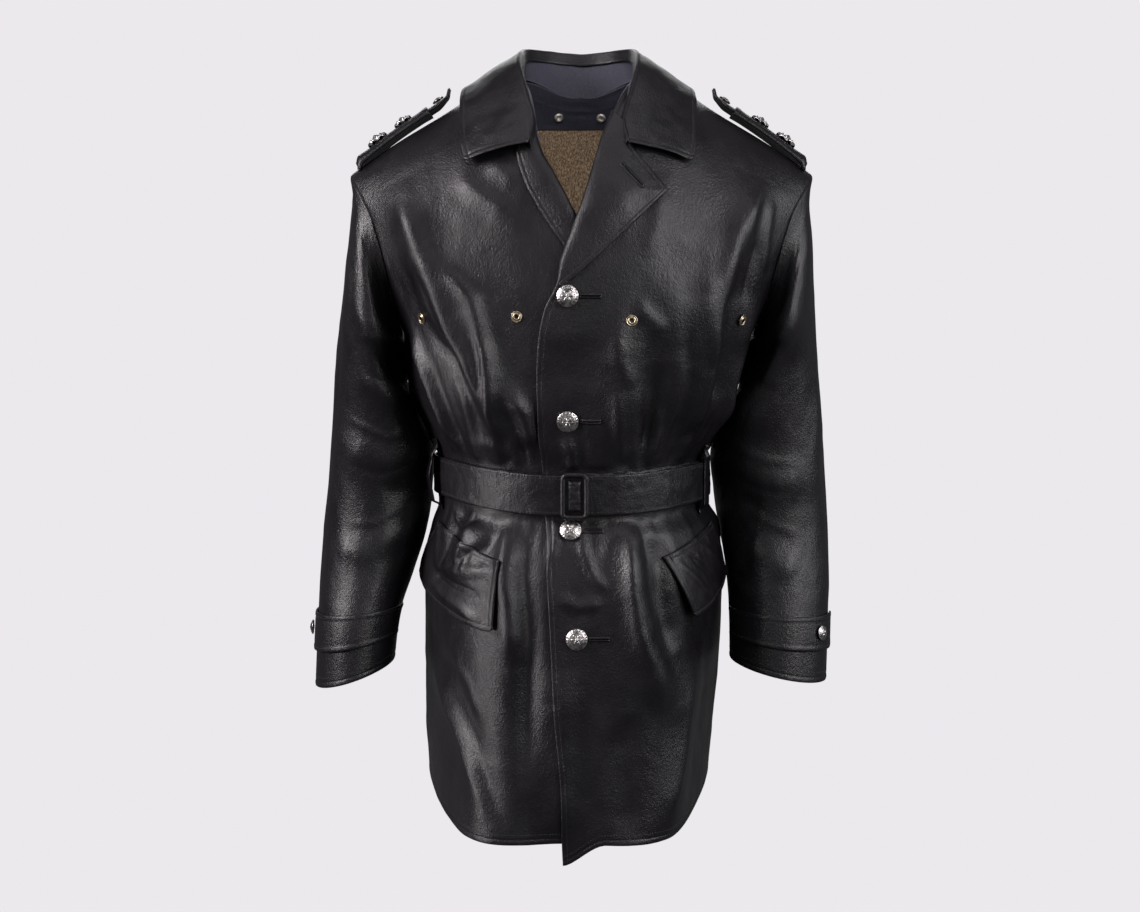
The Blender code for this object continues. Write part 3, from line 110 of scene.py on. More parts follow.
def smooth(knots, values, at):
    """Values on a cubic curve through the knots that doesn't overshoot them."""
    knots = np.asarray(knots, float)
    values = np.asarray(values, float)
    at = np.clip(np.asarray(at, float), knots[0], knots[-1])
    span = np.diff(knots)
    slope = np.diff(values) / span
    tangent = np.zeros_like(values)
    before, after = slope[:-1], slope[1:]
    same_way = before * after > 0
    safe_before = np.where(same_way, before, 1.0)
    safe_after = np.where(same_way, after, 1.0)
    weight_before = 2 * span[1:] + span[:-1]
    weight_after = span[1:] + 2 * span[:-1]
    mean = (weight_before + weight_after) / (weight_before / safe_before + weight_after / safe_after)
    tangent[1:-1] = np.where(same_way, mean, 0.0)
    tangent[0], tangent[-1] = slope[0], slope[-1]
    index = np.clip(np.searchsorted(knots, at, side="right") - 1, 0, len(span) - 1)
    t = (at - knots[index]) / span[index]
    rise = tangent[index] * span[index]
    rise_next = tangent[index + 1] * span[index]
    return (
        values[index] * (1 + 2 * t) * (1 - t) ** 2
        + rise * t * (1 - t) ** 2
        + values[index + 1] * t * t * (3 - 2 * t)
        - rise_next * t * t * (1 - t)
    )


def ease(t):
    """A smooth step from 0 to 1."""
    t = np.clip(t, 0.0, 1.0)
    return t * t * (3 - 2 * t)


def bell(distance, width):
    """A smooth hump, 1 high at no distance and 0.37 high at its width."""
    return np.exp(-((distance / width) ** 2))


def unit(v):
    return v / np.maximum(np.linalg.norm(v, axis=-1, keepdims=True), 1e-12)


def alike(*values):
    """The values as arrays of numbers that have one shape."""
    return np.broadcast_arrays(*(np.asarray(value, float) for value in values))


def wrap(around):
    """Around between -4 and 4, from the front centre."""
    return (np.asarray(around, float) + 4) % 8 - 4


def z_level(z):
    """The level of a height below the armpits."""
    return (np.asarray(z, float) - HEM_Z) / (CHEST_Z - HEM_Z)


def section(name, z):
    index = SECTION_COLUMNS.index(name)
    return smooth([row[0] for row in SECTIONS], [row[index] for row in SECTIONS], z)


def through(before, start, end, after, t):
    """A Catmull-Rom curve between start and end."""
    return 0.5 * (
        2 * start
        + (end - before) * t
        + (2 * before - 5 * start + 4 * end - after) * t**2
        + (3 * start - before - 3 * end + after) * t**3
    )


def plan(around, z):
    """Position in plan, from the middle of the section at that height."""
    wrapped = wrap(around)
    folded = np.abs(wrapped)
    zero = np.zeros_like(z)
    front, side, back = (section(n, z) for n in ("x_front_corner", "x_side", "x_back_corner"))
    xs = np.array([-front, zero, front, side, back, zero, -back])
    ys = [section("y_" + n, z) for n in ("front", "front_corner", "side", "back_corner", "back")]
    ys = np.array([ys[1], *ys, ys[3]])
    step = np.clip(np.floor(folded), 0, 3).astype(int)
    place = np.arange(len(step))
    x = through(*(xs[step + k, place] for k in range(4)), folded - step)
    y = through(*(ys[step + k, place] for k in range(4)), folded - step)
    return np.where(wrapped < 0, -x, x), y


def body(around, level):
    """The body's surface before any folds."""
    around, level = alike(around, level)
    shape = around.shape
    around, level = around.ravel(), level.ravel()
    z = HEM_Z + np.minimum(level, 1) * (CHEST_Z - HEM_Z)
    x, y = plan(around, np.maximum(z, HEM_Z))
    rise = np.radians(90 * np.clip(level - 1, 0, 1))
    x = x * (1 + SHOULDER_SPREAD * np.sin(rise))
    ridge_z = smooth(SHOULDER_X, SHOULDER_Z, np.abs(x))
    ridge_y = smooth(SHOULDER_X, SHOULDER_Y, np.abs(x))
    upper = level > 1
    y = np.where(upper, ridge_y + (y - ridge_y) * np.cos(rise), y)
    z = np.where(upper, CHEST_Z + (ridge_z - CHEST_Z) * np.sin(rise), z)
    low_middle = section("x_middle", np.minimum(z, CHEST_Z))
    x = x + low_middle + (SHOULDER_MIDDLE - low_middle) * np.where(upper, np.sin(rise), 0.0)
    return np.stack([x, y, z], -1).reshape(*shape, 3)


def body_normal(around, level):
    around, level = alike(around, level)
    step = 0.01
    above, below = np.minimum(level + step, 2.0), level - step
    along = body(around + step, level) - body(around - step, level)
    up = body(around, above) - body(around, below)
    return unit(np.cross(along, up))


def front_place(x, z, back=False):
    """The around and level of the point of the front, or the back, seen at x and z."""
    x, z = np.atleast_1d(np.asarray(x, float)), np.atleast_1d(np.asarray(z, float))
    low_middle = section("x_middle", np.minimum(z, CHEST_Z))
    sine = np.zeros_like(z)
    for _ in range(8):
        from_middle = x - low_middle - (SHOULDER_MIDDLE - low_middle) * sine
        ridge_z = smooth(SHOULDER_X, SHOULDER_Z, np.abs(from_middle))
        sine = np.clip((z - CHEST_Z) / (ridge_z - CHEST_Z), 0, 1)
    level = np.where(z > CHEST_Z, 1 + np.arcsin(sine) * 2 / np.pi, z_level(z))
    wanted = np.abs(from_middle) / (1 + SHOULDER_SPREAD * sine)
    low, high = (2.0, 4.0) if back else (0.0, 2.0)
    low, high = np.full_like(z, low), np.full_like(z, high)
    for _ in range(30):
        middle = (low + high) / 2
        reach = plan(middle, np.clip(z, HEM_Z, CHEST_Z))[0]
        outside = (reach > wanted) != back
        low, high = np.where(outside, low, middle), np.where(outside, middle, high)
    return np.sign(from_middle) * low, level


# Folds of the body. Each runs through its points, given as x and z seen from the front. It
# stands out by its height, or sinks where that is negative, and fades over its width.
# Each row holds a fold's width, its height and its points, all in millimetres.
FRONT_FOLDS = (
    (20, 8, ((-196, -100), (-171, -183), (-119, -300), (-95, -385))),
    (13, 5, ((-150, -199), (-112, -236), (-89, -318), (-86, -390))),
    (12, -5, ((-170, -250), (-132, -300), (-108, -345), (-100, -395))),
    (14, 5.5, ((-188, -268), (-165, -315), (-146, -360), (-136, -400))),
    (13, 4.5, ((-72, -320), (-66, -350), (-52, -400))),
    (22, 7, ((205, -95), (174, -180), (155, -235), (145, -300), (141, -385))),
    (15, -5.5, ((186, -196), (168, -246), (158, -300), (157, -360))),
    (16, 6, ((206, -225), (190, -290), (174, -345), (160, -395))),
    (18, 5, ((130, -185), (112, -230), (120, -310), (122, -390))),
    (18, 4, ((46, -262), (52, -320), (56, -395))),
    (14, -4.5, ((90, -300), (86, -350), (78, -405))),
    (16, 6.5, ((-68, -490), (-72, -540), (-66, -640))),
    (13, -6, ((-52, -486), (-50, -600), (-52, -760))),
    (22, 6, ((-118, -490), (-112, -520))),
    (18, 7.5, ((62, -488), (68, -560), (78, -616), (96, -664), (112, -690))),
    (16, -6.5, ((86, -492), (98, -560), (112, -630))),
    (20, 2.6, ((-170, -650), (-140, -700), (-110, -760), (-92, -838))),
    (16, -2.8, ((-150, -640), (-118, -700), (-70, -838))),
    (22, 6.5, ((140, -640), (124, -730), (104, -838))),
    (22, -5, ((60, -690), (58, -838))),
    (20, 5, ((-10, -640), (-12, -838))),
)
BACK_FOLDS = (
    (22, 7, ((185, -120), (160, -200), (120, -310), (95, -395))),
    (16, -5, ((150, -240), (110, -320), (70, -395))),
    (22, 7, ((-170, -120), (-150, -200), (-110, -320), (-80, -395))),
    (16, -5, ((-130, -240), (-90, -330), (-48, -395))),
    (18, 5, ((10, -200), (16, -300), (20, -395))),
    (18, 7, ((60, -490), (66, -620), (74, -838))),
    (18, -6, ((28, -490), (32, -620), (30, -838))),
    (20, 7, ((-20, -490), (-18, -620), (-10, -838))),
    (18, -6, ((-62, -490), (-64, -620), (-60, -838))),
    (20, 7, ((-104, -490), (-110, -620), (-112, -838))),
    (18, 5.5, ((128, -500), (136, -620), (140, -800))),
)
BELT_LOW, BELT_HIGH = -0.476, -0.424
BELT_FADE = 0.030
BELT_SIDE = 1.7
BELT_SIDE_RISE = {1: 0.005, -1: 0.009}
FOLD_SCALE_AROUND = 0.125
FOLD_SCALE_CHEST = 0.25
ONCE_ROUND = 8 * FOLD_SCALE_AROUND


def fold_plane(around, level):
    """Around and level as distances in metres, so that a fold's width is even."""
    low = HEM_Z + np.minimum(level, 1) * (CHEST_Z - HEM_Z)
    return wrap(around) * FOLD_SCALE_AROUND, low + np.maximum(np.asarray(level) - 1, 0) * FOLD_SCALE_CHEST


def belt_line(around):
    """How much higher the belt lies at a place around than at the front and back centres."""
    away = np.abs(wrap(around))
    rise = np.where(wrap(around) > 0, BELT_SIDE_RISE[1], BELT_SIDE_RISE[-1])
    return rise * ease(away / BELT_SIDE) * (1 - ease((away - 2) / 2))


def fold_height(u, v, path, width, height):
    """What one fold adds at u and v: its height on the path, fading on both sides and at its ends."""
    nearest = np.full(np.shape(u), np.inf)
    along = np.zeros(np.shape(u))
    start = 0.0
    for (ua, va), (ub, vb) in zip(path[:-1], path[1:]):
        length = math.hypot(ub - ua, vb - va)
        t = np.clip(((u - ua) * (ub - ua) + (v - va) * (vb - va)) / length**2, 0, 1)
        distance = np.hypot(u - ua - t * (ub - ua), v - va - t * (vb - va))
        closer = distance < nearest
        along = np.where(closer, start + t * length, along)
        nearest = np.where(closer, distance, nearest)
        start += length
    fade = ease(0.25 + along / (0.35 * start)) * ease(0.25 + (start - along) / (0.35 * start))
    return FOLD_GAIN * height * fade * bell(nearest, width)


def body_paths(front_rows, back_rows):
    """The paths of folds in the plane of fold_plane, with their widths and heights, in metres."""
    paths = []
    for rows, back in ((front_rows, False), (back_rows, True)):
        for width, height, points in rows:
            x, z = np.array(points).T / MM_PER_M
            u, v = fold_plane(*front_place(x, z, back))
            paths.append((list(zip(u, v)), width / MM_PER_M, height / MM_PER_M))
    return paths


FOLD_PATHS = body_paths(FRONT_FOLDS, BACK_FOLDS)


def fold_sum(u, v, paths, gain=1.0):
    """What all the folds add at u and v. Each is worked out only near its path."""
    total = np.zeros(u.shape)
    for path, width, height in paths:
        us, vs = np.array(path).T
        reach = 3 * width
        near = (u > us.min() - reach) & (u < us.max() + reach)
        near &= (v > vs.min() - reach) & (v < vs.max() + reach)
        if near.any():
            total[near] += gain * fold_height(u[near], v[near], path, width, height)
    return total


def folds(around, level):
    """How far the folds, creases and gathers move the body's surface out."""
    around, level = alike(around, level)
    u, v = fold_plane(around, level)
    total = np.zeros(u.shape)
    for turn in (-ONCE_ROUND, 0.0, ONCE_ROUND):
        total += fold_sum(u + turn, v, FOLD_PATHS)
    above = v - belt_line(around) - BELT_HIGH
    below = BELT_LOW - v + belt_line(around)
    clear = np.maximum(ease(above / BELT_FADE), ease(below / BELT_FADE))
    total *= clear
    tight = np.maximum(ease(above / GATHER_FADE), ease(below / GATHER_FADE))
    for turn in (-ONCE_ROUND, 0.0, ONCE_ROUND):
        total += fold_sum(u + turn, v, CREASE_PATHS + GATHER_PATHS) * tight
    total += unevenness(u / ONCE_ROUND, v) * (0.25 + 0.75 * clear)
    return total * (1 - ease((level - 1.55) / 0.35))


def coat(around, level, out=0.0):
    """The body's folded surface, moved out by a distance."""
    out = np.asarray(out, float)
    lift = folds(around, level) + out
    return body(around, level) + body_normal(around, level) * lift[..., None]


# Sleeve sections below the armhole. Each row holds z and x on the arm's outer side, z and x on
# its inner side, and y at its front and at its back.
LEFT_SLEEVE = (
    (-0.115, 0.277, -0.286, 0.2165, -0.068, 0.072),
    (-0.165, 0.281, -0.306, 0.2150, -0.075, 0.082),
    (-0.230, 0.284, -0.334, 0.2060, -0.072, 0.090),
    (-0.294, 0.291, -0.374, 0.1805, -0.056, 0.100),
    (-0.360, 0.298, -0.416, 0.1670, -0.046, 0.104),
    (-0.430, 0.304, -0.464, 0.1715, -0.043, 0.101),
    (-0.498, 0.308, -0.513, 0.1790, -0.046, 0.094),
    (-0.560, 0.308, -0.561, 0.1860, -0.058, 0.079),
    (-0.620, 0.306, -0.611, 0.1880, -0.074, 0.062),
    (-0.684, 0.303, -0.661, 0.1880, -0.087, 0.049),
)
RIGHT_SLEEVE = (
    (-0.115, 0.258, -0.286, 0.2035, -0.068, 0.072),
    (-0.165, 0.263, -0.306, 0.2040, -0.075, 0.082),
    (-0.230, 0.271, -0.334, 0.2000, -0.072, 0.090),
    (-0.294, 0.281, -0.374, 0.1820, -0.062, 0.096),
    (-0.360, 0.288, -0.416, 0.1680, -0.050, 0.101),
    (-0.430, 0.295, -0.464, 0.1700, -0.043, 0.101),
    (-0.498, 0.301, -0.513, 0.1780, -0.046, 0.094),
    (-0.560, 0.304, -0.560, 0.1920, -0.058, 0.079),
    (-0.620, 0.306, -0.606, 0.2070, -0.074, 0.062),
    (-0.691, 0.308, -0.663, 0.2140, -0.087, 0.049),
)
TURNS = 24
FRONT_TURNS = (1, 12)
BACK_TURNS = (12, 25)

# Folds of the sleeves: width and height in millimetres, and points given as turn and length.
# Turn 0 is the outer side, 6 the front, 12 the side towards the body and 18 the back.
TURN_SCALE = 0.017
LENGTH_SCALE = 0.062
LEFT_SLEEVE_FOLDS = (
    (20, 6, ((10.5, 1.0), (7.5, 2.0), (5.0, 3.2))),
    (16, -4.5, ((9.5, 1.9), (6.5, 3.0), (4.5, 4.2))),
    (18, 5.5, ((11.0, 3.0), (8.5, 4.2), (6.0, 5.0))),
    (20, 6, ((9.5, 5.2), (6.5, 5.9), (3.5, 6.2))),
    (15, -4.5, ((10.0, 6.0), (7.0, 6.5))),
    (18, 4.5, ((2.0, 4.6), (3.5, 6.6))),
    (18, 4.5, ((8.5, 7.2), (5.0, 7.9))),
    (20, 6, ((13.5, 1.5), (17.0, 3.0))),
    (20, 6, ((20.0, 4.5), (16.0, 5.6))),
    (20, 5, ((21.0, 6.0), (17.0, 7.0))),
)
RIGHT_SLEEVE_FOLDS = (
    (20, 6.5, ((10.5, 1.1), (7.5, 2.2), (4.5, 3.0))),
    (15, -4.5, ((10.5, 2.2), (7.5, 3.2))),
    (18, 5.5, ((11.0, 3.2), (8.0, 3.9), (5.0, 4.1))),
    (20, 6, ((10.0, 4.8), (7.0, 5.5), (3.0, 5.6))),
    (15, -4.5, ((9.5, 5.8), (6.5, 6.2))),
    (18, 5, ((9.0, 6.8), (6.0, 7.4), (3.0, 7.4))),
    (18, 4.5, ((3.0, 2.0), (2.5, 3.8))),
    (20, 6, ((13.5, 1.5), (17.0, 3.0))),
    (20, 6, ((20.0, 4.6), (16.0, 5.4))),
    (20, 5, ((21.0, 6.2), (17.0, 6.9))),
)


def armhole_half(level):
    return smooth(ARMHOLE_LEVEL, ARMHOLE_HALF, level)


def armhole_place(side, turn):
    """Around and level of a point of the armhole: turn 0 is the shoulder and 12 the armpit."""
    turn = np.asarray(turn, float) % TURNS
    down = 12 - np.abs(12 - turn)
    level = 2 - down / 12
    half = armhole_half(level)
    return side * np.where(turn <= 12, 2 - half, 2 + half), level


def sleeve_rings(side, turn):
    """Where each of the sleeve's sections is at a turn, from the armhole down to the cuff."""
    around, level = armhole_place(side, turn)
    edge = coat(around, level)
    later = coat(*armhole_place(side, np.asarray(turn, float) + 0.05))
    earlier = coat(*armhole_place(side, np.asarray(turn, float) - 0.05))
    normal = body_normal(around, level)
    off_panel = -side * unit(np.cross(later - earlier, normal))
    angle = 2 * np.pi * np.asarray(turn, float) / TURNS
    rings = []
    for z_outer, x_outer, z_inner, x_inner, y_front, y_back in LEFT_SLEEVE if side > 0 else RIGHT_SLEEVE:
        x = (x_outer + x_inner) / 2 + (x_outer - x_inner) / 2 * np.cos(angle)
        y = (y_front + y_back) / 2 + (y_front - y_back) / 2 * np.sin(angle)
        z = (z_outer + z_inner) / 2 + (z_outer - z_inner) / 2 * np.cos(angle)
        rings.append(np.stack([side * x, y, z], -1))
    heading = unit(rings[0] - edge)
    climb = np.clip((heading * normal).sum(-1), 0, 1)[..., None]
    start = edge + GAP * (off_panel + 1.5 * climb * normal)
    return [start, *rings]


def sleeve_base(side, turn, length):
    turn, length = np.asarray(turn, float), np.asarray(length, float)
    rings = np.array(sleeve_rings(side, turn))
    rings = np.concatenate([2 * rings[:1] - rings[1:2], rings, 2 * rings[-1:] - rings[-2:-1]])
    shape = np.broadcast(turn, length).shape
    rings = np.broadcast_to(rings, (len(rings), *shape, 3))
    length = np.broadcast_to(length, shape)
    step = np.clip(np.floor(length), 0, len(rings) - 4).astype(int)
    picked = [np.take_along_axis(rings, (step + k)[None, ..., None], 0)[0] for k in range(4)]
    return through(*picked, (length - step)[..., None])


def sleeve_normal(side, turn, length):
    turn, length = np.asarray(turn, float), np.asarray(length, float)
    round_it = sleeve_base(side, turn + 0.1, length) - sleeve_base(side, turn - 0.1, length)
    below = sleeve_base(side, turn, np.minimum(length + 0.03, 10))
    above = sleeve_base(side, turn, np.maximum(length - 0.03, 0))
    return side * unit(np.cross(round_it, below - above))


def sleeve(side, turn, length, out=0.0):
    """The sleeve's folded surface, moved out by a distance."""
    u, v = alike(np.asarray(turn, float) * TURN_SCALE, np.asarray(length, float) * LENGTH_SCALE)
    total = np.zeros(u.shape)
    for whole in (-TURNS, 0, TURNS):
        total += fold_sum(u + whole * TURN_SCALE, v, SLEEVE_PATHS[side], SLEEVE_FOLD_GAIN)
    total += unevenness(u / (TURNS * TURN_SCALE), v + side * SLEEVE_NOISE_SHIFT, SLEEVE_SHARE)
    total = total * ease(length / 1.2) * (1 - ease((length - 8.2) / 0.5))
    lift = total + np.asarray(out, float)
    return sleeve_base(side, turn, length) + sleeve_normal(side, turn, length) * lift[..., None]


OVERLAP_LIFT = 0.0042
LAPEL_ROOM = 0.0046


def front_edge(side, level):
    """How far around the front edge, or the roll line above it, is at each level."""
    points = OVER_EDGE if side > 0 else UNDER_EDGE
    x, z = np.array(points).T
    around, at = front_place(x, z)
    return smooth([*at, 2.0], [*around, side * NECK_AROUND], level)


def overlap_lift(around, level):
    """How far the over front is lifted by the under front, and by the lapel between them."""
    level = np.asarray(level, float)
    from_middle = np.abs(wrap(around))
    lift = OVERLAP_LIFT * (1 - ease((from_middle - 0.45) / 0.55)) * (1 - ease((level - 1.45) / 0.3))
    room = LAPEL_ROOM * (1 - ease((from_middle - 0.25) / 0.45))
    return lift + room * ease((level - 0.92) / 0.10) * (1 - ease((level - 1.28) / 0.14))


def hem_rise(around, level):
    """How much higher the hem is at the side seams, fading out above it."""
    from_side = np.abs(np.abs(wrap(around)) - 2)
    return HEM_RISE * (1 - ease(from_side / HEM_RISE_WIDTH)) * (1 - np.clip(level / 0.5, 0, 1))


def back_neck_level(around):
    """The level of the back's top edge, which drops between the neck points."""
    from_middle = np.abs(np.asarray(around, float) - 4) / NECK_AROUND
    return 2 - BACK_NECK_DROP * (1 - np.minimum(from_middle, 1) ** 2)


# Lapels, from where they break at the front edge up to the collar: the roll line and the
# outer edge as x and z seen from the front.
LEFT_LAPEL = (
    (-0.016, -0.213, -0.013, -0.221),
    (-0.012, -0.191, 0.004, -0.207),
    (-0.002, -0.165, 0.036, -0.178),
    (0.006, -0.143, 0.070, -0.146),
    (0.013, -0.122, 0.103, -0.114),
    (0.022, -0.092, 0.086, -0.092),
    (0.034, -0.052, 0.065, -0.068),
    (0.044, -0.026, 0.066, -0.052),
)
RIGHT_LAPEL = (
    (0.010, -0.163, 0.006, -0.190),
    (0.004, -0.144, -0.009, -0.176),
    (-0.008, -0.121, -0.024, -0.155),
    (-0.021, -0.096, -0.038, -0.133),
    (-0.033, -0.076, -0.051, -0.110),
    (-0.039, -0.062, -0.060, -0.086),
    (-0.043, -0.048, -0.063, -0.072),
    (-0.046, -0.030, -0.061, -0.052),
)

LAPEL_WALL = 0.0016
LAPEL_ROLL = 0.0050
TRIM_GAP = 0.0010


# Collar, from the back centre forwards: the fold line, then the leaf's outer edge
COLLAR_MIDDLE = 0.006
COLLAR_FOLD = (
    (0.000, 0.079, 0.057), (0.036, 0.070, 0.059), (0.064, 0.038, 0.058), (0.071, -0.002, 0.050),
    (0.071, -0.036, 0.036), (0.065, -0.063, 0.014), (0.057, -0.086, -0.012), (0.051, -0.106, -0.036),
    (0.056, -0.122, -0.060),
)
COLLAR_EDGE = (
    (0.000, 0.100, -0.006), (0.060, 0.096, -0.006), (0.108, 0.074, -0.004), (0.129, 0.034, 0.008),
    (0.134, -0.010, 0.008), (0.135, -0.048, -0.010), (0.134, -0.076, -0.038), (0.132, -0.096, -0.058),
    (0.127, -0.112, -0.080),
)

COLLAR_BULGE = 0.0035


def mirrored(half):
    """Both halves of a line, from the wearer's right to the left, about the collar's middle."""
    half = np.asarray(half, float)
    other = half[:0:-1] * (-1, 1, 1)
    return np.concatenate([other, half]) + (COLLAR_MIDDLE, 0, 0)


INSIDE_GAP = 0.0052
FACING_GAP = 0.0062
FACING_LOW = 1.584
LINING_LEVELS = (0.74, 1.574)


# Belt, its buckle and its two loops

BELT_MIDDLE = (BELT_LOW + BELT_HIGH) / 2
BELT_HALF = 0.023
BELT_WALL = 0.0034
BELT_REST = 0.0014
BELT_START = 0.10
BELT_END = 8 + 1.78
BELT_OVER = BELT_REST + BELT_WALL + 0.0006
LOOP_AROUND = (1.62, -1.72)
LOOP_SLACK = (0.0, 0.006)
LOOP_HALF = 0.0065
LOOP_WALL = 0.0022


def belt_rest(around):
    """How far the belt's inner face is from the coat's surface, on its first and second turn."""
    second = ease((np.asarray(around, float) - 7.3) / 0.5)
    return overlap_lift(around, 0.6) + BELT_REST + second * (BELT_WALL + 0.0006)


BUCKLE_HALF = (0.0130, 0.0245)
BUCKLE_RADIUS = 0.0028
BUCKLE_CORNER = 0.006
BUCKLE_X = 0.0015
BUCKLE_GAP = 0.0008
BAR_HALF = (0.0078, 0.0178)


# Pocket flaps: the four corners as around and z, and how far the free edge lifts
FLAP_WALL = 0.0024
LEFT_FLAP = ((0.90, -0.520), (1.68, -0.496), (1.86, -0.562), (1.18, -0.592))
RIGHT_FLAP = ((-0.68, -0.524), (-1.62, -0.494), (-1.97, -0.562), (-0.74, -0.602))
LEFT_FLAP_LIFT = (0.0080, 0.0020)
RIGHT_FLAP_LIFT = (0.0040, 0.0030)


# Cuff straps and everything on the shoulders

STRAP_WALL = 0.0022
STRAP_LENGTHS = (8.76, 9.42)
STRAP_TURNS = {1: (-0.4, 11.2), -1: (-2.0, 11.2)}
CUFF_BUTTON_TURN = {1: 3.0, -1: 0.4}


EPAULETTE_ENDS = (0.2610, 0.142)
EPAULETTE_HALF = 0.023
EPAULETTE_WALL = 0.0026
EPAULETTE_REST = 0.0004
EPAULETTE_STEP = (0.0060, 0.008)
EPAULETTE_RISE = 0.0080
EPAULETTE_ARCH = 0.0010
EPAULETTE_CURL = (0.0060, 0.008)
SHOULDER_ROUND = 0.060
SLIDE_ENDS = (0.2520, 0.172)
SLIDE_HALF = 0.0265
SLIDE_WALL = 0.0014
SLIDE_GAP = 0.0008


def shoulder_top(side, x, w, out):
    """A point above the shoulder seam: x along the shoulder, w across it, out above it."""
    x, w, out = alike(x, w, out)
    ridge_z, ahead, behind = (smooth(SHOULDER_X, SHOULDER_Z, x + step) for step in (0, 0.003, -0.003))
    ridge_y = smooth(SHOULDER_X, SHOULDER_Y, x)
    tilt = np.arctan((ahead - behind) / 0.006)
    lift = out - w**2 / (2 * SHOULDER_ROUND)
    from_middle = side * (x - lift * np.sin(tilt))
    return np.stack([SHOULDER_MIDDLE + from_middle, ridge_y + w, ridge_z + lift * np.cos(tilt)], -1)


def epaulette_out(x):
    """How far the epaulette's lower face is above the shoulder seam."""
    t = np.clip((x - EPAULETTE_ENDS[0]) / (EPAULETTE_ENDS[1] - EPAULETTE_ENDS[0]), 0, 1)
    height, reach = EPAULETTE_STEP
    step = height * ease((EPAULETTE_ENDS[0] - x) / reach)
    curl = EPAULETTE_CURL[0] * ease(1 - (x - EPAULETTE_ENDS[1]) / EPAULETTE_CURL[1])
    return EPAULETTE_REST + step + EPAULETTE_RISE * t + EPAULETTE_ARCH * np.sin(np.pi * t) + curl


def epaulette_normal(side, x):
    """The direction in which the epaulette faces at a place along it."""
    ahead = shoulder_top(side, x + 0.004, 0, epaulette_out(x + 0.004))
    behind = shoulder_top(side, x - 0.004, 0, epaulette_out(x - 0.004))
    return side * np.cross(ahead - behind, (0, 1, 0))


FRONT_BUTTONS = ((-0.006, -0.229), (-0.006, -0.365), (-0.003, -0.492), (0.004, -0.607))
EYELETS = (
    (-0.062, -0.251, 0.0002), (0.063, -0.255, 0.0002), (0.187, -0.255, 0.0010), (-0.172, -0.255, 0.0002),
)
HOLE_REACH = (0.0135, 0.0360)
HOLE_HALF = 0.0022
HOLE_WALL = 0.0008
BUTTON_ON_SHOULDER = 0.158
LAPEL_HOLE = ((0.052, -0.088), (0.075, -0.113))
SNAPS = ((-0.018, -0.012), (0.035, -0.012))


def on_front(x, z, out):
    around, level = front_place(x, z)
    lift = out + overlap_lift(around, level) * (around > front_edge(1, level))
    return coat(around, level, lift)[0], body_normal(around, level)[0]


# Small creases, in tables like those of the folds
FRONT_CREASES = (
    (9, 3, ((-196, -124), (-175, -158), (-156, -207), (-135, -259), (-116, -298))),
    (6, 3.4, ((-124, -284), (-102, -334), (-90, -370), (-83, -412))),
    (5.8, 3.4, ((-151, -194), (-126, -214), (-109, -235), (-94, -294), (-88, -375))),
    (4.5, -3, ((-112, -250), (-104, -300), (-96, -350), (-88, -405))),
    (5.5, -2.8, ((-168, -200), (-148, -258), (-128, -306), (-108, -360))),
    (5.5, 3.6, ((-192, -248), (-173, -294), (-156, -332), (-140, -377), (-126, -405))),
    (5, -2.6, ((-160, -300), (-142, -350), (-122, -405))),
    (6, 2.2, ((-126, -96), (-108, -116), (-88, -128), (-70, -144))),
    (6, 1.8, ((-92, -82), (-74, -94), (-60, -104))),
    (6.5, 3.6, ((-67, -339), (-53, -357), (-44, -395))),
    (4.5, -2.4, ((-74, -350), (-60, -378), (-52, -412))),
    (3.5, 2.6, ((-150, -372), (-142, -392), (-138, -410))),
    (3.2, 2.4, ((-79, -396), (-72, -410))),
    (2.6, 3, ((-136, -474), (-132, -486), (-125, -495), (-117, -488), (-114, -474))),
    (8.5, 4, ((206, -104), (188, -142), (170, -196), (156, -262), (146, -340))),
    (5.5, -4, ((196, -150), (178, -206), (166, -272), (156, -352))),
    (5.5, 3.6, ((214, -108), (198, -136), (190, -170), (178, -206), (168, -262))),
    (4.5, -2.6, ((204, -166), (196, -210), (190, -236))),
    (5, 2.4, ((222, -118), (216, -164), (212, -206))),
    (11, 3.6, ((150, -180), (146, -240), (152, -300), (138, -356), (132, -408))),
    (6, -3, ((120, -250), (124, -320), (112, -400))),
    (6, 2.4, ((190, -290), (174, -340), (160, -392), (154, -414))),
    (5, 2, ((66, -236), (86, -256), (100, -270))),
    (7, 2.2, ((46, -252), (50, -300), (66, -330))),
    (5, 2.2, ((48, -330), (50, -380), (56, -414))),
    (4.5, 3.6, ((96, -350), (92, -384), (84, -414))),
    (5, -2.2, ((88, -320), (82, -380), (74, -414))),
    (7.5, 1.8, ((94, -112), (92, -150), (78, -190))),
    (6, 2.6, ((58, -484), (62, -540), (70, -596), (86, -648))),
    (5.5, -2.6, ((74, -486), (82, -540), (94, -592))),
    (6, 2.4, ((6, -500), (22, -540), (40, -556))),
    (6, 2, ((-18, -562), (4, -572), (34, -568))),
    (4.5, 2, ((-74, -486), (-79, -520), (-77, -560))),
    (6, 2.2, ((-140, -640), (-118, -668), (-108, -700))),
    (5.5, 1.8, ((-164, -668), (-132, -722), (-104, -790))),
    (5.5, -1.8, ((-146, -672), (-112, -730), (-82, -810))),
    (6, 1.6, ((132, -664), (120, -740), (104, -810))),
)
BACK_CREASES = (
    (5, 2, ((172, -150), (150, -210), (128, -280))),
    (4.5, -1.8, ((140, -250), (106, -324), (78, -392))),
    (5, 2, ((-160, -150), (-138, -214), (-112, -290))),
    (4.5, -1.8, ((-122, -250), (-88, -330), (-56, -392))),
    (4, 1.6, ((52, -340), (44, -380), (40, -414))),
    (4, 1.6, ((-30, -340), (-26, -380), (-24, -414))),
    (5.5, 1.6, ((100, -500), (110, -600), (112, -720))),
    (5.5, -1.6, ((-90, -500), (-94, -610), (-92, -740))),
)
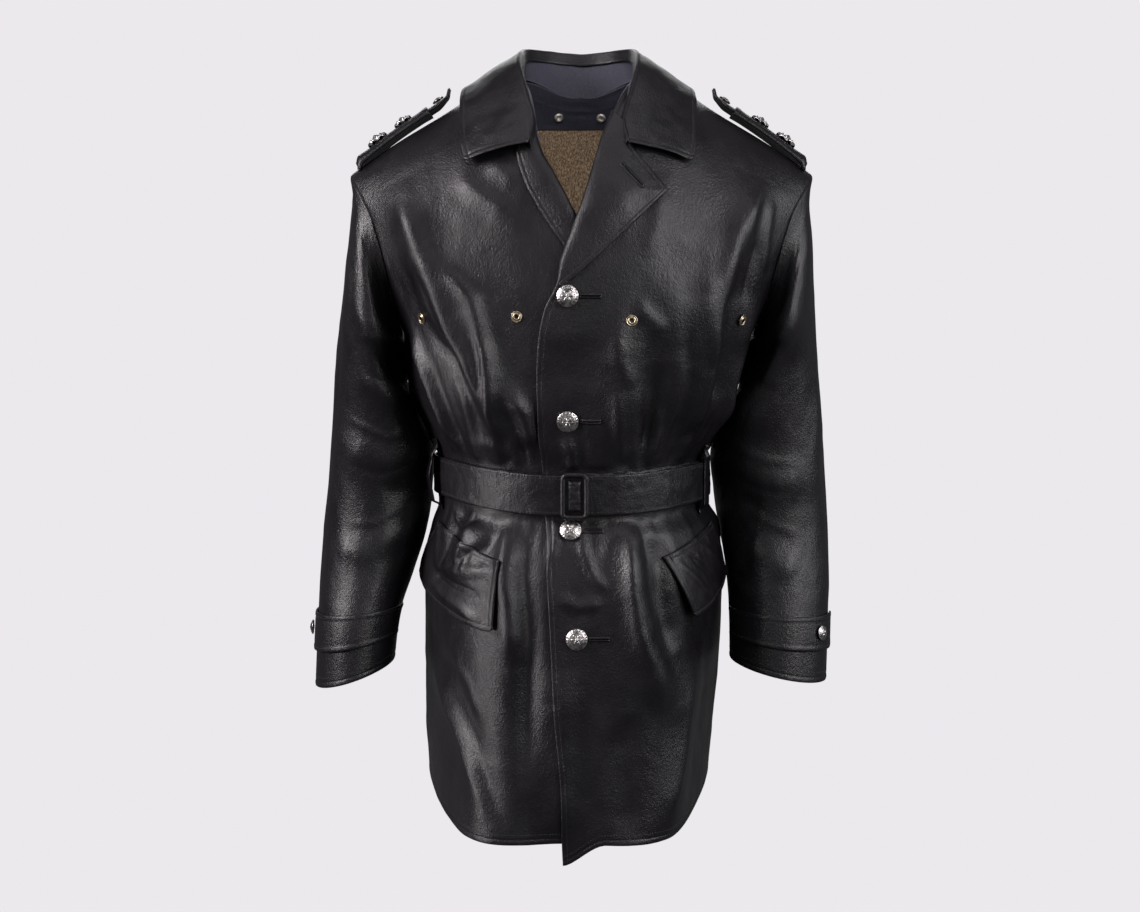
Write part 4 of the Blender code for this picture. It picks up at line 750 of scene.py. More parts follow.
LEFT_SLEEVE_CREASES = (
    (5, 2, ((9.8, 1.5), (7.2, 2.5), (5.2, 3.4))),
    (4.5, -1.8, ((10.2, 2.6), (7.8, 3.6), (5.8, 4.2))),
    (4.5, 1.8, ((9.0, 4.9), (6.6, 5.5), (4.2, 5.8))),
    (4.5, -1.8, ((9.2, 5.6), (7.0, 6.1), (5.2, 6.3))),
    (4, 1.5, ((8.4, 6.4), (6.2, 6.9), (4.6, 7.1))),
    (5, 1.8, ((1.6, 3.4), (2.2, 4.8), (2.8, 5.6))),
    (5, 1.8, ((14.5, 2.2), (17.0, 3.4))),
    (5, 1.8, ((20.0, 5.0), (17.0, 6.0), (14.5, 6.4))),
    (24, 17.8, ((12.8, 0.6), (12.4, 2.0), (12.0, 3.4))),
)
RIGHT_SLEEVE_CREASES = (
    (5, 2, ((9.6, 1.6), (7.0, 2.6), (4.8, 3.2))),
    (4.5, -1.8, ((10.0, 2.8), (7.4, 3.6), (5.6, 3.8))),
    (4.5, 2, ((9.4, 4.4), (6.8, 5.0), (3.6, 5.0))),
    (4.5, -1.8, ((9.0, 5.3), (6.4, 5.8), (4.4, 5.8))),
    (4, 1.5, ((8.6, 6.3), (6.4, 6.8), (4.0, 6.9))),
    (5, 1.8, ((1.4, 2.6), (1.8, 4.2), (1.6, 5.4))),
    (5, 1.8, ((14.5, 2.2), (17.0, 3.4))),
    (5, 1.8, ((20.0, 5.1), (17.0, 5.9), (14.5, 6.2))),
    (24, 10.4, ((12.8, 0.55), (12.4, 2.0), (12.0, 3.1))),
)
SLEEVE_NOISE_SHIFT = 3.1
SLEEVE_FOLD_GAIN = 0.45
SLEEVE_SHARE = 0.42


def sleeve_paths(rows):
    """The paths of a sleeve's folds as metres round and along it."""
    paths = []
    for width, height, points in rows:
        places = [(turn * TURN_SCALE, length * LENGTH_SCALE) for turn, length in points]
        paths.append((places, width / MM_PER_M, height / MM_PER_M))
    return paths


SLEEVE_PATHS = {
    1: sleeve_paths(LEFT_SLEEVE_FOLDS + LEFT_SLEEVE_CREASES),
    -1: sleeve_paths(RIGHT_SLEEVE_FOLDS + RIGHT_SLEEVE_CREASES),
}

# Gathers where the belt draws the leather in, each with its own length, lean and height
GATHER_SEED = 11
GATHER_SPACING = (0.010, 0.030)
GATHER_LENGTH = (0.035, 0.095)
GATHER_LEAN = (-0.30, 0.30)
GATHER_WIDTH = (0.0035, 0.0080)
GATHER_HEIGHT = (-0.0030, 0.0038)
GATHER_UNDER_BELT = 0.012
GATHER_FADE = 0.010
GATHER_GAIN = {1: 1.0, -1: 0.55}

# Unevenness of the leather: how many swells go round the body, how tall they are, their height
SWELLS = ((17, 0.130, 0.0016), (38, 0.050, 0.0008), (104, 0.015, 0.00032))
SWELL_SEED = 5
SWELL_CELLS = 128


def gathers():
    """Paths of the gathers above and below the belt, in the plane of fold_plane."""
    chance = np.random.default_rng(GATHER_SEED)
    half_round = ONCE_ROUND / 2
    paths = []
    for edge, way in ((BELT_HIGH, 1), (BELT_LOW, -1)):
        place = -half_round
        while place < half_round:
            place += chance.uniform(*GATHER_SPACING)
            length = chance.uniform(*GATHER_LENGTH)
            lean = chance.uniform(*GATHER_LEAN) * length
            width = chance.uniform(*GATHER_WIDTH)
            height = chance.uniform(*GATHER_HEIGHT) * GATHER_GAIN[way]
            start = edge + float(belt_line(place / FOLD_SCALE_AROUND))
            points = [
                (place, start - way * GATHER_UNDER_BELT),
                (place + lean * 0.35, start + way * length * 0.5),
                (place + lean, start + way * length),
            ]
            paths.append((points, width, height))
    return paths


CREASE_PATHS = body_paths(FRONT_CREASES, BACK_CREASES)
GATHER_PATHS = gathers()
NOISE = np.random.default_rng(SWELL_SEED).uniform(-1, 1, (SWELL_CELLS, SWELL_CELLS))


def noise_at(a, b, cells=SWELL_CELLS):
    """Smooth noise between -1 and 1 that repeats after so many cells along a."""
    i, j = np.floor(a).astype(int), np.floor(b).astype(int)
    s, t = ease(a - i), ease(b - j)
    i0, i1, j0, j1 = i % cells, (i + 1) % cells, j % SWELL_CELLS, (j + 1) % SWELL_CELLS
    low = NOISE[i0, j0] * (1 - s) + NOISE[i1, j0] * s
    high = NOISE[i0, j1] * (1 - s) + NOISE[i1, j1] * s
    return low * (1 - t) + high * t


def unevenness(share, v, part=1.0):
    """Swells at a share of the way round and a height. A sleeve has only a part of them."""
    total = np.zeros(np.shape(share))
    for number, (cells, tall, height) in enumerate(SWELLS):
        cells = round(cells * part)
        total = total + height * noise_at(share * cells, v / tall + 9.1 * number + 40, cells)
    return total


# Meshes

def surface_normals(grid, outward):
    """Normals of a grid of points, on the side that the direction outward points to."""
    along = np.gradient(grid, axis=0)
    across = np.gradient(grid, axis=1)
    normal = unit(np.cross(along, across))
    return normal * np.sign((normal * outward).sum())


def quad_faces(index):
    """Faces between the neighbours of a grid of vertex numbers."""
    return np.stack([index[:-1, :-1], index[:-1, 1:], index[1:, 1:], index[1:, :-1]], -1).reshape(-1, 4)


PIECES = {}


def add_mesh(name, points, faces, finish, second=None, second_from=None):
    """Adds a piece from points and faces. Faces from second_from on take the second finish."""
    mesh = bpy.data.meshes.new(name)
    mesh.from_pydata(np.asarray(points, float).tolist(), [], [list(map(int, f)) for f in faces])
    mesh.materials.append(finish)
    mesh.shade_smooth()
    if second is not None:
        mesh.materials.append(second)
        which = np.zeros(len(mesh.polygons), dtype=np.int32)
        which[second_from[0]:second_from[1]] = 1
        mesh.polygons.foreach_set("material_index", which)
    made = bpy.data.objects.new(name, mesh)
    bpy.context.scene.collection.objects.link(made)
    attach(made, "root")
    PIECES[name] = made
    return made


def run_along(points):
    """How far each point is along the line through them."""
    return np.concatenate([[0], np.cumsum(np.linalg.norm(np.diff(points, axis=0), axis=-1))])


def pick(values, run, at):
    """Rows of values at places along a run, straight between them."""
    return np.stack([np.interp(at, run, column) for column in values.T], -1)


def edge_distances(grid):
    """How far each point is from the first and last row and from the first and last column."""
    down = np.linalg.norm(np.diff(grid, axis=0), axis=-1)
    across = np.linalg.norm(np.diff(grid, axis=1), axis=-1)
    from_first_row = np.concatenate([np.zeros((1, grid.shape[1])), np.cumsum(down, 0)])
    from_first_column = np.concatenate([np.zeros((grid.shape[0], 1)), np.cumsum(across, 1)], 1)
    return (
        from_first_row,
        from_first_row[-1:] - from_first_row,
        from_first_column,
        from_first_column[:, -1:] - from_first_column,
    )


STITCH_INSET = 0.0064
GROOVE_WIDTH = 0.0008
GROOVE_DEPTH = 0.00040
WELT_HEIGHT = 0.00035
SEAM_WIDTH = 0.0016
SEAM_DEPTH = 0.0009
WELT_PLACE = 0.0032
WELT_WIDTH = 0.0022
HEM_STITCH = 0.012
STRAP_STITCH = 0.0050

# Distances from an edge at which a piece has rows of points: a sewn edge, a seam and a strap
EDGE_KNOTS = np.array(
    (0.0, 0.0003, 0.0009, 0.0018, 0.0032, 0.0046, 0.0056, 0.0064, 0.0072, 0.0082, 0.0100)
)
SEAM_KNOTS = np.array((0.0, 0.0006, 0.0013, 0.0022, 0.0036, 0.0056))
BELT_KNOTS = np.array((0.0, 0.0005, 0.0013, 0.0024, 0.0036, 0.0048, 0.0060))


def edge_shape(kind, distance, thickness):
    """What an edge adds to the outer and the inner face at a distance from it."""
    if kind == "seam":
        sink = -SEAM_DEPTH * bell(distance, SEAM_WIDTH)
        return sink, sink
    if kind == "none":
        return 0.0, 0.0
    radius = thickness * 0.48
    inside = np.clip(radius - distance, 0, radius)
    drop = radius - np.sqrt(np.maximum(radius**2 - inside**2, 0))
    outer = -drop
    if kind == "stitched":
        outer = outer - GROOVE_DEPTH * bell(distance - STITCH_INSET, GROOVE_WIDTH)
        outer = outer + WELT_HEIGHT * bell(distance - WELT_PLACE, WELT_WIDTH)
    return outer, drop * 0.96


def shell(name, grid, thickness, finish, edges, outward, inside=None, bumps=None):
    """A closed leather or cloth shell under a grid of points on its outer face.

    The edges are those of the first row, the last row, the first column and the last column.
    """
    normal = surface_normals(grid, outward)
    outer_lift = np.zeros(grid.shape[:2]) if bumps is None else bumps.copy()
    inner_lift = np.full(grid.shape[:2], -thickness)
    for kind, distance in zip(edges, edge_distances(grid)):
        more_out, more_in = edge_shape(kind, distance, thickness)
        outer_lift += more_out
        inner_lift += more_in
    outer = grid + normal * outer_lift[..., None]
    inner = grid + normal * inner_lift[..., None]
    rows, columns = grid.shape[:2]
    top = np.arange(rows * columns).reshape(rows, columns)
    low = top + rows * columns
    rim = [
        np.stack([low[0], top[0]]),
        np.stack([top[-1], low[-1]]),
        np.stack([top[:, 0], low[:, 0]]),
        np.stack([low[:, -1], top[:, -1]]),
    ]
    faces = [quad_faces(top)] + [quad_faces(strip) for strip in rim]
    outside_count = sum(len(f) for f in faces)
    faces.append(quad_faces(low)[:, ::-1])
    faces = np.concatenate(faces)
    facing = np.cross(outer[1, 1] - outer[0, 1], outer[1, 0] - outer[1, 1])
    if (facing * normal[1, 1]).sum() < 0:
        faces = faces[:, ::-1]
    points = np.concatenate([outer.reshape(-1, 3), inner.reshape(-1, 3)])
    span = (outside_count, len(faces))
    made = add_mesh(name, points, faces, finish, inside, span)
    return made, outer, normal


def finished(piece, name):
    """Hides the solid whose place a piece takes."""
    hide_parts(name)


def leather_piece(name, grid, thickness, edges, outward, inside=None, bumps=None):
    """A leather shell in the place of its solid."""
    piece, outer, normal = shell(name, grid, thickness, LEATHER, edges, outward, inside, bumps)
    finished(piece, name)
    return outer, normal


def spread(lengths, near, far, count):
    """Distances along lines of these lengths: named ones near both ends, even ones between."""
    lengths = np.atleast_1d(lengths)[:, None]
    near, far = np.array(near), np.array(far)
    even = np.linspace(0, 1, count + 2)[1:-1]
    middle = near[-1] + (lengths - near[-1] - far[-1]) * even
    rows = len(lengths)
    first = np.broadcast_to(near, (rows, len(near)))
    return np.concatenate([first, middle, lengths - far[::-1]], 1)


def steps_along(start, end, near, far, count):
    """Places from start to end, close together near the ends. Distances are in the same units."""
    return start + np.sign(end - start) * spread(abs(end - start), near, far, count)[0]


def across_rows(start, end, level, near, far, count, place):
    """For each row, places around from start to end at the distances that spread gives."""
    rough = np.linspace(0, 1, 41)
    around = start[:, None] + (end - start)[:, None] * rough
    points = place(around, np.repeat(level[:, None], len(rough), 1))
    run = np.array([run_along(row) for row in points])
    wanted = spread(run[:, -1], near, far, count)
    return np.array([np.interp(w, r, a) for w, r, a in zip(wanted, run, around)])


def down_levels(near, far, count, around=1.0):
    """Levels from the hem to the shoulder seam, by distance along the front of the coat."""
    rough = np.linspace(0, 2, 401)
    points = body(np.full(rough.shape, around), rough)
    run = run_along(points)
    return np.interp(spread(run[-1], near, far, count)[0], run, rough)


def line_at(grid, normals, edge, distance):
    """The line of points and normals at a distance from one edge of a grid."""
    away = edge_distances(grid)[edge]
    if edge < 2:
        away, grid, normals = away.T, grid.transpose(1, 0, 2), normals.transpose(1, 0, 2)
    if edge in (1, 3):
        away, grid, normals = away[:, ::-1], grid[:, ::-1], normals[:, ::-1]
    points = [pick(row, run, distance) for run, row in zip(away, grid)]
    facing = [pick(row, run, distance) for run, row in zip(away, normals)]
    return np.array(points), unit(np.array(facing))


STITCH_PITCH = 0.0034
STITCH_LENGTH = 0.0025
STITCH_RADIUS = 0.00032
STITCH_SINK = 0.00004
STITCH_SLANT = 0.10
STITCH_SAG = 0.00022
STITCH_FLAT = 0.8
STITCH_RINGS = ((-0.5, 0.35), (-0.34, 1.0), (0.34, 1.0), (0.5, 0.35))
STITCH_SIDES = 5


def round_angles(count):
    return 2 * np.pi * np.arange(count) / count


def stitches(name, lines, pitch=STITCH_PITCH):
    """Sewing stitches along lines of points on a surface, joined into one piece."""
    points, faces = [], []
    count = 0
    angle = round_angles(STITCH_SIDES)[None, :, None]
    for path, normal in lines:
        run = run_along(path)
        middles = np.arange(pitch, run[-1] - pitch, pitch)
        if len(middles) < 2:
            continue
        centre = pick(path, run, middles)
        heading = unit(pick(path, run, middles + 0.0008) - pick(path, run, middles - 0.0008))
        up = unit(pick(normal, run, middles))
        side = unit(np.cross(up, heading))
        heading = unit(heading + STITCH_SLANT * side)
        side = unit(np.cross(up, heading))
        centre, heading, up, side = (row[:, None] for row in (centre, heading, up, side))
        rings = []
        for along, size in STITCH_RINGS:
            ring = (np.cos(angle) * side + np.sin(angle) * up * STITCH_FLAT) * STITCH_RADIUS * size
            sink = -STITCH_SAG * (2 * along) ** 2 + STITCH_SINK
            rings.append(centre + heading * along * STITCH_LENGTH + ring + up * sink)
        block = np.stack(rings, 1)
        index = count + np.arange(block[..., 0].size).reshape(block.shape[:3])
        ahead = np.roll(index, -1, 2)
        sides = np.stack([index[:, :-1], ahead[:, :-1], ahead[:, 1:], index[:, 1:]], -1)
        faces += sides.reshape(-1, 4).tolist() + index[:, 0, ::-1].tolist() + index[:, -1].tolist()
        points.append(block.reshape(-1, 3))
        count += index.size
    add_mesh(name, np.concatenate(points), faces, THREAD)


def sew(name, outer, normal, rows):
    """Rows of stitches on a piece, each along one of its edges at a distance from it."""
    stitches(f"stitches_{name}", [line_at(outer, normal, edge, inset) for edge, inset in rows])


# Finishes

def node(tree, kind, **values):
    made = tree.nodes.new(kind)
    for key, value in values.items():
        if hasattr(made, key):
            setattr(made, key, value)
        else:
            made.inputs[key.replace("_", " ")].default_value = value
    return made


def place_node(tree, stretch=(1, 1, 1)):
    """Object coordinates, stretched."""
    coordinates = node(tree, "ShaderNodeTexCoord")
    mapping = node(tree, "ShaderNodeMapping")
    mapping.inputs["Scale"].default_value = stretch
    tree.links.new(coordinates.outputs["Object"], mapping.inputs["Vector"])
    return mapping.outputs["Vector"]


def noise_node(tree, scale, detail=2.0, stretch=(1, 1, 1), roughness=0.5):
    texture = node(tree, "ShaderNodeTexNoise")
    texture.inputs["Scale"].default_value = scale
    texture.inputs["Detail"].default_value = detail
    texture.inputs["Roughness"].default_value = roughness
    tree.links.new(place_node(tree, stretch), texture.inputs["Vector"])
    return texture.outputs["Fac"]


def cells_node(tree, scale, feature="DISTANCE_TO_EDGE", stretch=(1, 1, 1)):
    texture = node(tree, "ShaderNodeTexVoronoi")
    texture.feature = feature
    texture.inputs["Scale"].default_value = scale
    tree.links.new(place_node(tree, stretch), texture.inputs["Vector"])
    return texture.outputs["Distance"]


def ramp_node(tree, value, stops):
    ramp = node(tree, "ShaderNodeValToRGB")
    elements = ramp.color_ramp.elements
    for number, (at, colour) in enumerate(stops):
        element = elements[number] if number < 2 else elements.new(at)
        element.position = at
        element.color = colour if len(colour) == 4 else (*colour, 1)
    tree.links.new(value, ramp.inputs["Fac"])
    return ramp.outputs["Color"]


def range_node(tree, value, low, high, from_low=0.3, from_high=0.7):
    mapped = node(tree, "ShaderNodeMapRange")
    for key, number in (("From Min", from_low), ("From Max", from_high), ("To Min", low), ("To Max", high)):
        mapped.inputs[key].default_value = number
    tree.links.new(value, mapped.inputs["Value"])
    return mapped.outputs["Result"]


def bump_node(tree, height, distance, strength=1.0, before=None):
    bump = node(tree, "ShaderNodeBump")
    bump.inputs["Distance"].default_value = distance
    bump.inputs["Strength"].default_value = strength
    tree.links.new(height, bump.inputs["Height"])
    if before is not None:
        tree.links.new(before, bump.inputs["Normal"])
    return bump.outputs["Normal"]


def new_finish(name):
    made = bpy.data.materials.new(name)
    made.use_nodes = True
    return made, made.node_tree, made.node_tree.nodes["Principled BSDF"]


def leather_finish(name, dark, light, roughness=(0.29, 0.47), grain=0.00042, specular=0.5):
    """Smooth aniline leather: a fine cracked grain, faint cloudy wear and soft uneven gloss."""
    made, tree, surface = new_finish(name)
    cloud = noise_node(tree, 9.0, 4.0)
    tree.links.new(ramp_node(tree, cloud, ((0.32, dark), (0.72, light))), surface.inputs["Base Color"])
    gloss = noise_node(tree, 26.0, 5.0, (1, 1, 0.7), 0.62)
    tree.links.new(range_node(tree, gloss, *roughness), surface.inputs["Roughness"])
    surface.inputs["Specular IOR Level"].default_value = specular
    pebbles = bump_node(tree, cells_node(tree, 420.0), grain, 0.70)
    pores = bump_node(tree, noise_node(tree, 1100.0, 3.0), grain * 0.4, 0.5, pebbles)
    wrinkles = bump_node(tree, noise_node(tree, 360.0, 4.0, (1, 1, 0.75), 0.6), 0.0010, 0.55, pores)
    swells = bump_node(tree, noise_node(tree, 46.0, 3.0, (1, 1, 0.7)), 0.0030, 0.28, wrinkles)
    tree.links.new(swells, surface.inputs["Normal"])
    return made


def cloth_finish(name, dark, light, threads, roughness=0.85, sheen=0.3, depth=0.00015):
    """A plain woven cloth."""
    made, tree, surface = new_finish(name)
    fleck = noise_node(tree, threads * 0.55, 3.0, (1, 1, 0.5))
    tree.links.new(ramp_node(tree, fleck, ((0.36, dark), (0.66, light))), surface.inputs["Base Color"])
    surface.inputs["Roughness"].default_value = roughness
    surface.inputs["Sheen Weight"].default_value = sheen
    weave = bump_node(tree, cells_node(tree, threads, "F1"), depth, 0.6)
    creases = bump_node(tree, noise_node(tree, 70.0, 3.0, (1, 1, 0.35)), 0.0030, 0.60, weave)
    tree.links.new(creases, surface.inputs["Normal"])
    return made


def wool_finish(name):
    """Brushed wool in mixed browns."""
    made, tree, surface = new_finish(name)
    flecks = noise_node(tree, 620.0, 6.0, (1, 1, 0.45), 0.75)
    stops = (
        (0.34, (0.060, 0.037, 0.020)),
        (0.46, (0.200, 0.132, 0.078)),
        (0.55, (0.400, 0.285, 0.180)),
        (0.67, (0.680, 0.530, 0.370)),
    )
    tree.links.new(ramp_node(tree, flecks, stops), surface.inputs["Base Color"])
    surface.inputs["Roughness"].default_value = 1.0
    surface.inputs["Sheen Weight"].default_value = 0.35
    nap = bump_node(tree, noise_node(tree, 900.0, 5.0, (1, 1, 0.4), 0.7), 0.0008, 0.8)
    tree.links.new(nap, surface.inputs["Normal"])
    return made


def metal_finish(name, dark, light, roughness=(0.22, 0.42), pits=0.00008):
    """Cast and plated metal, darker where it has aged."""
    made, tree, surface = new_finish(name)
    tarnish = noise_node(tree, 240.0, 5.0, (1, 1, 1), 0.65)
    tree.links.new(ramp_node(tree, tarnish, ((0.36, dark), (0.58, light))), surface.inputs["Base Color"])
    surface.inputs["Metallic"].default_value = 1.0
    tree.links.new(range_node(tree, noise_node(tree, 420.0, 3.0), *roughness), surface.inputs["Roughness"])
    tree.links.new(bump_node(tree, noise_node(tree, 1400.0, 3.0), pits, 0.5), surface.inputs["Normal"])
    return made


LEATHER = leather_finish("black leather", (0.0038, 0.0030, 0.0046), (0.0078, 0.0062, 0.0084))
THREAD = cloth_finish("black thread", (0.014, 0.013, 0.014), (0.034, 0.032, 0.034), 2600.0, 0.6, 0.1, 0.00005)
NAVY = cloth_finish("navy cloth", (0.0150, 0.0155, 0.0300), (0.0290, 0.0300, 0.0500), 1500.0, 0.7, 0.15)
WOOL = wool_finish("brown wool")
SATIN = cloth_finish("black lining", (0.006, 0.006, 0.007), (0.014, 0.014, 0.016), 1900.0, 0.5, 0.1)
PEWTER = metal_finish("pewter", (0.16, 0.15, 0.145), (0.62, 0.60, 0.585))
SILVER = metal_finish("silver", (0.22, 0.22, 0.22), (0.72, 0.71, 0.70), (0.22, 0.38))
NICKEL = metal_finish("nickel", (0.50, 0.48, 0.44), (0.90, 0.87, 0.79), (0.55, 0.70))
BRASS = metal_finish("aged brass", (0.26, 0.21, 0.14), (0.72, 0.61, 0.44), (0.26, 0.40))


# Body panels

OUT = np.array([0.0, -1.0, 0.0])
ROWS = 236
FRONT_COUNT = 64
BACK_COUNT = 118
LAPEL_START = {1: z_level(-0.216), -1: z_level(-0.165)}
HEM_DIP_TOP = 0.12


def front_piece(name, side):
    level = down_levels(EDGE_KNOTS, SEAM_KNOTS, ROWS)
    start = front_edge(side, level)
    end = side * (2 - np.where(level > 1, armhole_half(level), 0))
    around = across_rows(start, end, level, EDGE_KNOTS, SEAM_KNOTS, FRONT_COUNT, body)
    level = np.repeat(level[:, None], around.shape[1], 1)
    level = level + hem_rise(around, level)
    lift = np.zeros(around.shape)
    if side > 0:
        near_edge = 1 - ease((around - start[:, None]) / HEM_DIP_WIDTH)
        level = level - HEM_DIP * near_edge * (1 - ease(level / HEM_DIP_TOP))
        lift = overlap_lift(around, level)
    edges = ("stitched", "seam", "stitched", "seam")
    outer, normal = leather_piece(name, coat(around, level, lift), WALL, edges, OUT, SATIN)
    below = slice(0, int((level[:, 0] < LAPEL_START[side]).sum()))
    edge_line = line_at(outer[below], normal[below], 2, STITCH_INSET)
    stitches(f"stitches_{name}", [edge_line, line_at(outer, normal, 0, HEM_STITCH)])


def back_piece():
    level = down_levels(EDGE_KNOTS, SEAM_KNOTS, ROWS)
    half = np.where(level > 1, armhole_half(level), 0)
    around = across_rows(2 + half, 6 - half, level, SEAM_KNOTS, SEAM_KNOTS, BACK_COUNT, body)
    level = np.repeat(level[:, None], around.shape[1], 1)
    level = np.where(level > 1, 1 + (level - 1) * (back_neck_level(around) - 1), level)
    level = level + hem_rise(around, level)
    edges = ("stitched", "seam", "seam", "seam")
    outer, normal = leather_piece("back", coat(around, level), WALL, edges, -OUT, SATIN)
    sew("back", outer, normal, ((0, HEM_STITCH),))


# Sleeves

SLEEVE_ROWS = 158
SLEEVE_COUNT = 50
SLEEVE_UNIT = 0.060


def sleeve_piece(name, side, turns):
    knots = SEAM_KNOTS / TURN_SCALE
    turn = steps_along(*turns, knots, knots, SLEEVE_COUNT)[None, :]
    knots = SEAM_KNOTS / SLEEVE_UNIT
    length = steps_along(0, 10, knots, EDGE_KNOTS / SLEEVE_UNIT, SLEEVE_ROWS)[:, None]
    grid = sleeve(side, turn, length)
    outward = sleeve_normal(side, turn, length)
    edges = ("seam", "stitched", "seam", "seam")
    outer, normal = leather_piece(name, grid, WALL, edges, outward, SATIN)
    sew(name, outer, normal, ((1, HEM_STITCH),))


# Lapels

LAPEL_ROWS = 110
LAPEL_COUNT = 34
ROLL_RADIUS = 0.0028
ROLL_STEPS = 7
LAPEL_TURN_IN = 0.010
ROUND_KNOTS = (0.0, 0.02, 0.06, 0.12)


def front_grid(x, z):
    """The around and level of a grid of places seen from the front."""
    around, level = front_place(x.ravel(), z.ravel())
    return around.reshape(x.shape), level.reshape(x.shape)


def lapel_piece(name, side):
    table = np.array(LEFT_LAPEL if side > 0 else RIGHT_LAPEL)
    at = steps_along(0, len(table) - 1, ROUND_KNOTS, ROUND_KNOTS, LAPEL_ROWS)
    rows = pick(table, np.arange(len(table)), at)
    width = np.hypot(rows[:, 2] - rows[:, 0], rows[:, 3] - rows[:, 1])
    toward = (rows[:, 2:] - rows[:, :2]) / width[:, None]
    distance = np.array([np.interp(np.linspace(0, 1, LAPEL_COUNT), [0, 1], [0, w]) for w in width])
    width = width[:, None]
    least = width * (1 - 0.03 * np.arange(len(EDGE_KNOTS))[::-1] / 3)
    edge = np.maximum(width - EDGE_KNOTS[::-1], least)
    distance = np.sort(np.concatenate([distance[:, :-1], edge], 1), 1)
    share = distance / width
    x = rows[:, :1] + toward[:, :1] * distance
    z = rows[:, 1:2] + toward[:, 1:] * distance
    around, level = front_grid(x, z)
    roll = LAPEL_ROLL * np.minimum(width / 0.08, 1) * np.sin(np.pi * np.clip(share, 0, 1) ** 0.7)
    base = overlap_lift(around, level) if side > 0 else 0.0
    grid = coat(around, level, base + TRIM_GAP + LAPEL_WALL + roll)
    first, normal = grid[:, 0], body_normal(around[:, 0], level[:, 0])
    back_off = unit(first - grid[:, 3])
    curl = []
    for step in range(ROLL_STEPS, 0, -1):
        angle = np.pi * step / ROLL_STEPS
        curl.append(first + ROLL_RADIUS * (np.sin(angle) * back_off - (1 - np.cos(angle)) * normal))
    tucked = curl[0] - back_off * LAPEL_TURN_IN
    grid = np.concatenate([tucked[:, None], np.stack(curl, 1), grid], 1)
    edges = ("round", "round", "none", "stitched")
    outer, facing = leather_piece(name, grid, LAPEL_WALL, edges, OUT)
    sew(name, outer, facing, ((3, STITCH_INSET),))


# Collar

COLLAR_ALONG = 260
COLLAR_DOWN = 40
COLLAR_ROLL = 0.0030
COLLAR_INSIDE = 0.0130
COLLAR_CORNER = 0.007
COLLAR_LEAF = (0.50, 0.072)
COLLAR_MID = np.array([COLLAR_MIDDLE, -0.02, 0.0])
STAND_POINTS = 150
STAND_LAP = (0.0008, 0.0065)
STAND_TOP = (0.0062, 0.0052)
UPWARD = np.array([0.0, 0.0, 1.0])
LEVEL_ONLY = (1, 1, 0)


def curve_through(points, at):
    """A smooth curve through points, at fractional point numbers."""
    points = np.asarray(points, float)
    padded = np.concatenate([2 * points[:1] - points[1:2], points, 2 * points[-1:] - points[-2:-1]])
    step = np.clip(np.floor(at), 0, len(points) - 2).astype(int)
    picked = [padded[step + k] for k in range(4)]
    return through(*picked, (at - step)[:, None])


def rounded_ends(share, down, length, depth, radius):
    """Draws in the two lower corners of a leaf, given as shares along and down it."""
    out_share, out_down = share.copy(), down.copy()
    for flip in (False, True):
        a = (share if flip else 1 - share) * length
        b = (1 - down) * depth
        corner = (a < radius) & (b < radius)
        p, q = 1 - a[corner] / radius, 1 - b[corner] / radius
        new_a = radius * (1 - p * np.sqrt(1 - q * q / 2))
        new_b = radius * (1 - q * np.sqrt(1 - p * p / 2))
        out_share[corner] = new_a / length if flip else 1 - new_a / length
        out_down[corner] = 1 - new_b / depth
    return out_share, out_down


def collar_piece():
    fold, edge = mirrored(COLLAR_FOLD), mirrored(COLLAR_EDGE)
    length, depth = COLLAR_LEAF
    share = steps_along(0, 1, EDGE_KNOTS / length, EDGE_KNOTS / length, COLLAR_ALONG)
    down = steps_along(0, 1, (0.0, 0.03, 0.07), EDGE_KNOTS / depth, COLLAR_DOWN)
    share, down = np.meshgrid(share, down, indexing="ij")
    share, down = rounded_ends(share, down, length, depth, COLLAR_CORNER)
    at = share.ravel() * (len(fold) - 1)
    top, low = (curve_through(line, at).reshape(*share.shape, 3) for line in (fold, edge))
    bulge = unit(unit((low + top) / 2 * LEVEL_ONLY - COLLAR_MID) + (0, 0, 0.8))
    wave = 0.0009 * noise_at(share * 13 + 4, down * 3 + 9) + 0.0005 * noise_at(share * 41 + 4, down * 7 + 9)
    out = COLLAR_BULGE * np.sin(np.pi * down**0.8) + wave
    leaf = top + (low - top) * down[..., None] + bulge * out[..., None]
    inward = unit((COLLAR_MID - leaf[:, 0]) * LEVEL_ONLY)
    curl = []
    for step in range(1, ROLL_STEPS + 1):
        angle = np.pi * step / ROLL_STEPS
        over = (1 - np.cos(angle)) * inward + np.sin(angle) * UPWARD * 0.7
        curl.append(leaf[:, 0] + COLLAR_ROLL * over)
    inside = [curl[-1] + (0, 0, -COLLAR_INSIDE * k / 8) + inward * 0.0006 * k for k in range(1, 9)]
    grid = np.concatenate([np.stack(inside[::-1], 1), np.stack(curl[::-1], 1), leaf], 1)
    # The leaf is most of the grid, so its side decides which way the whole piece faces
    outward = (grid - COLLAR_MID) * (1, 1, 0.3)
    edges = ("stitched", "stitched", "round", "stitched")
    outer, normal = leather_piece("collar_fall", grid, WALL, edges, outward)
    lines = [line_at(outer, normal, 3, STITCH_INSET)]
    lines += [line_at(outer[:, 8:], normal[:, 8:], end, STITCH_INSET) for end in (0, 1)]
    lines += [line_at(outer, normal, 2, inset) for inset in (0.003, 0.0065, 0.010)]
    stitches("stitches_collar", lines)


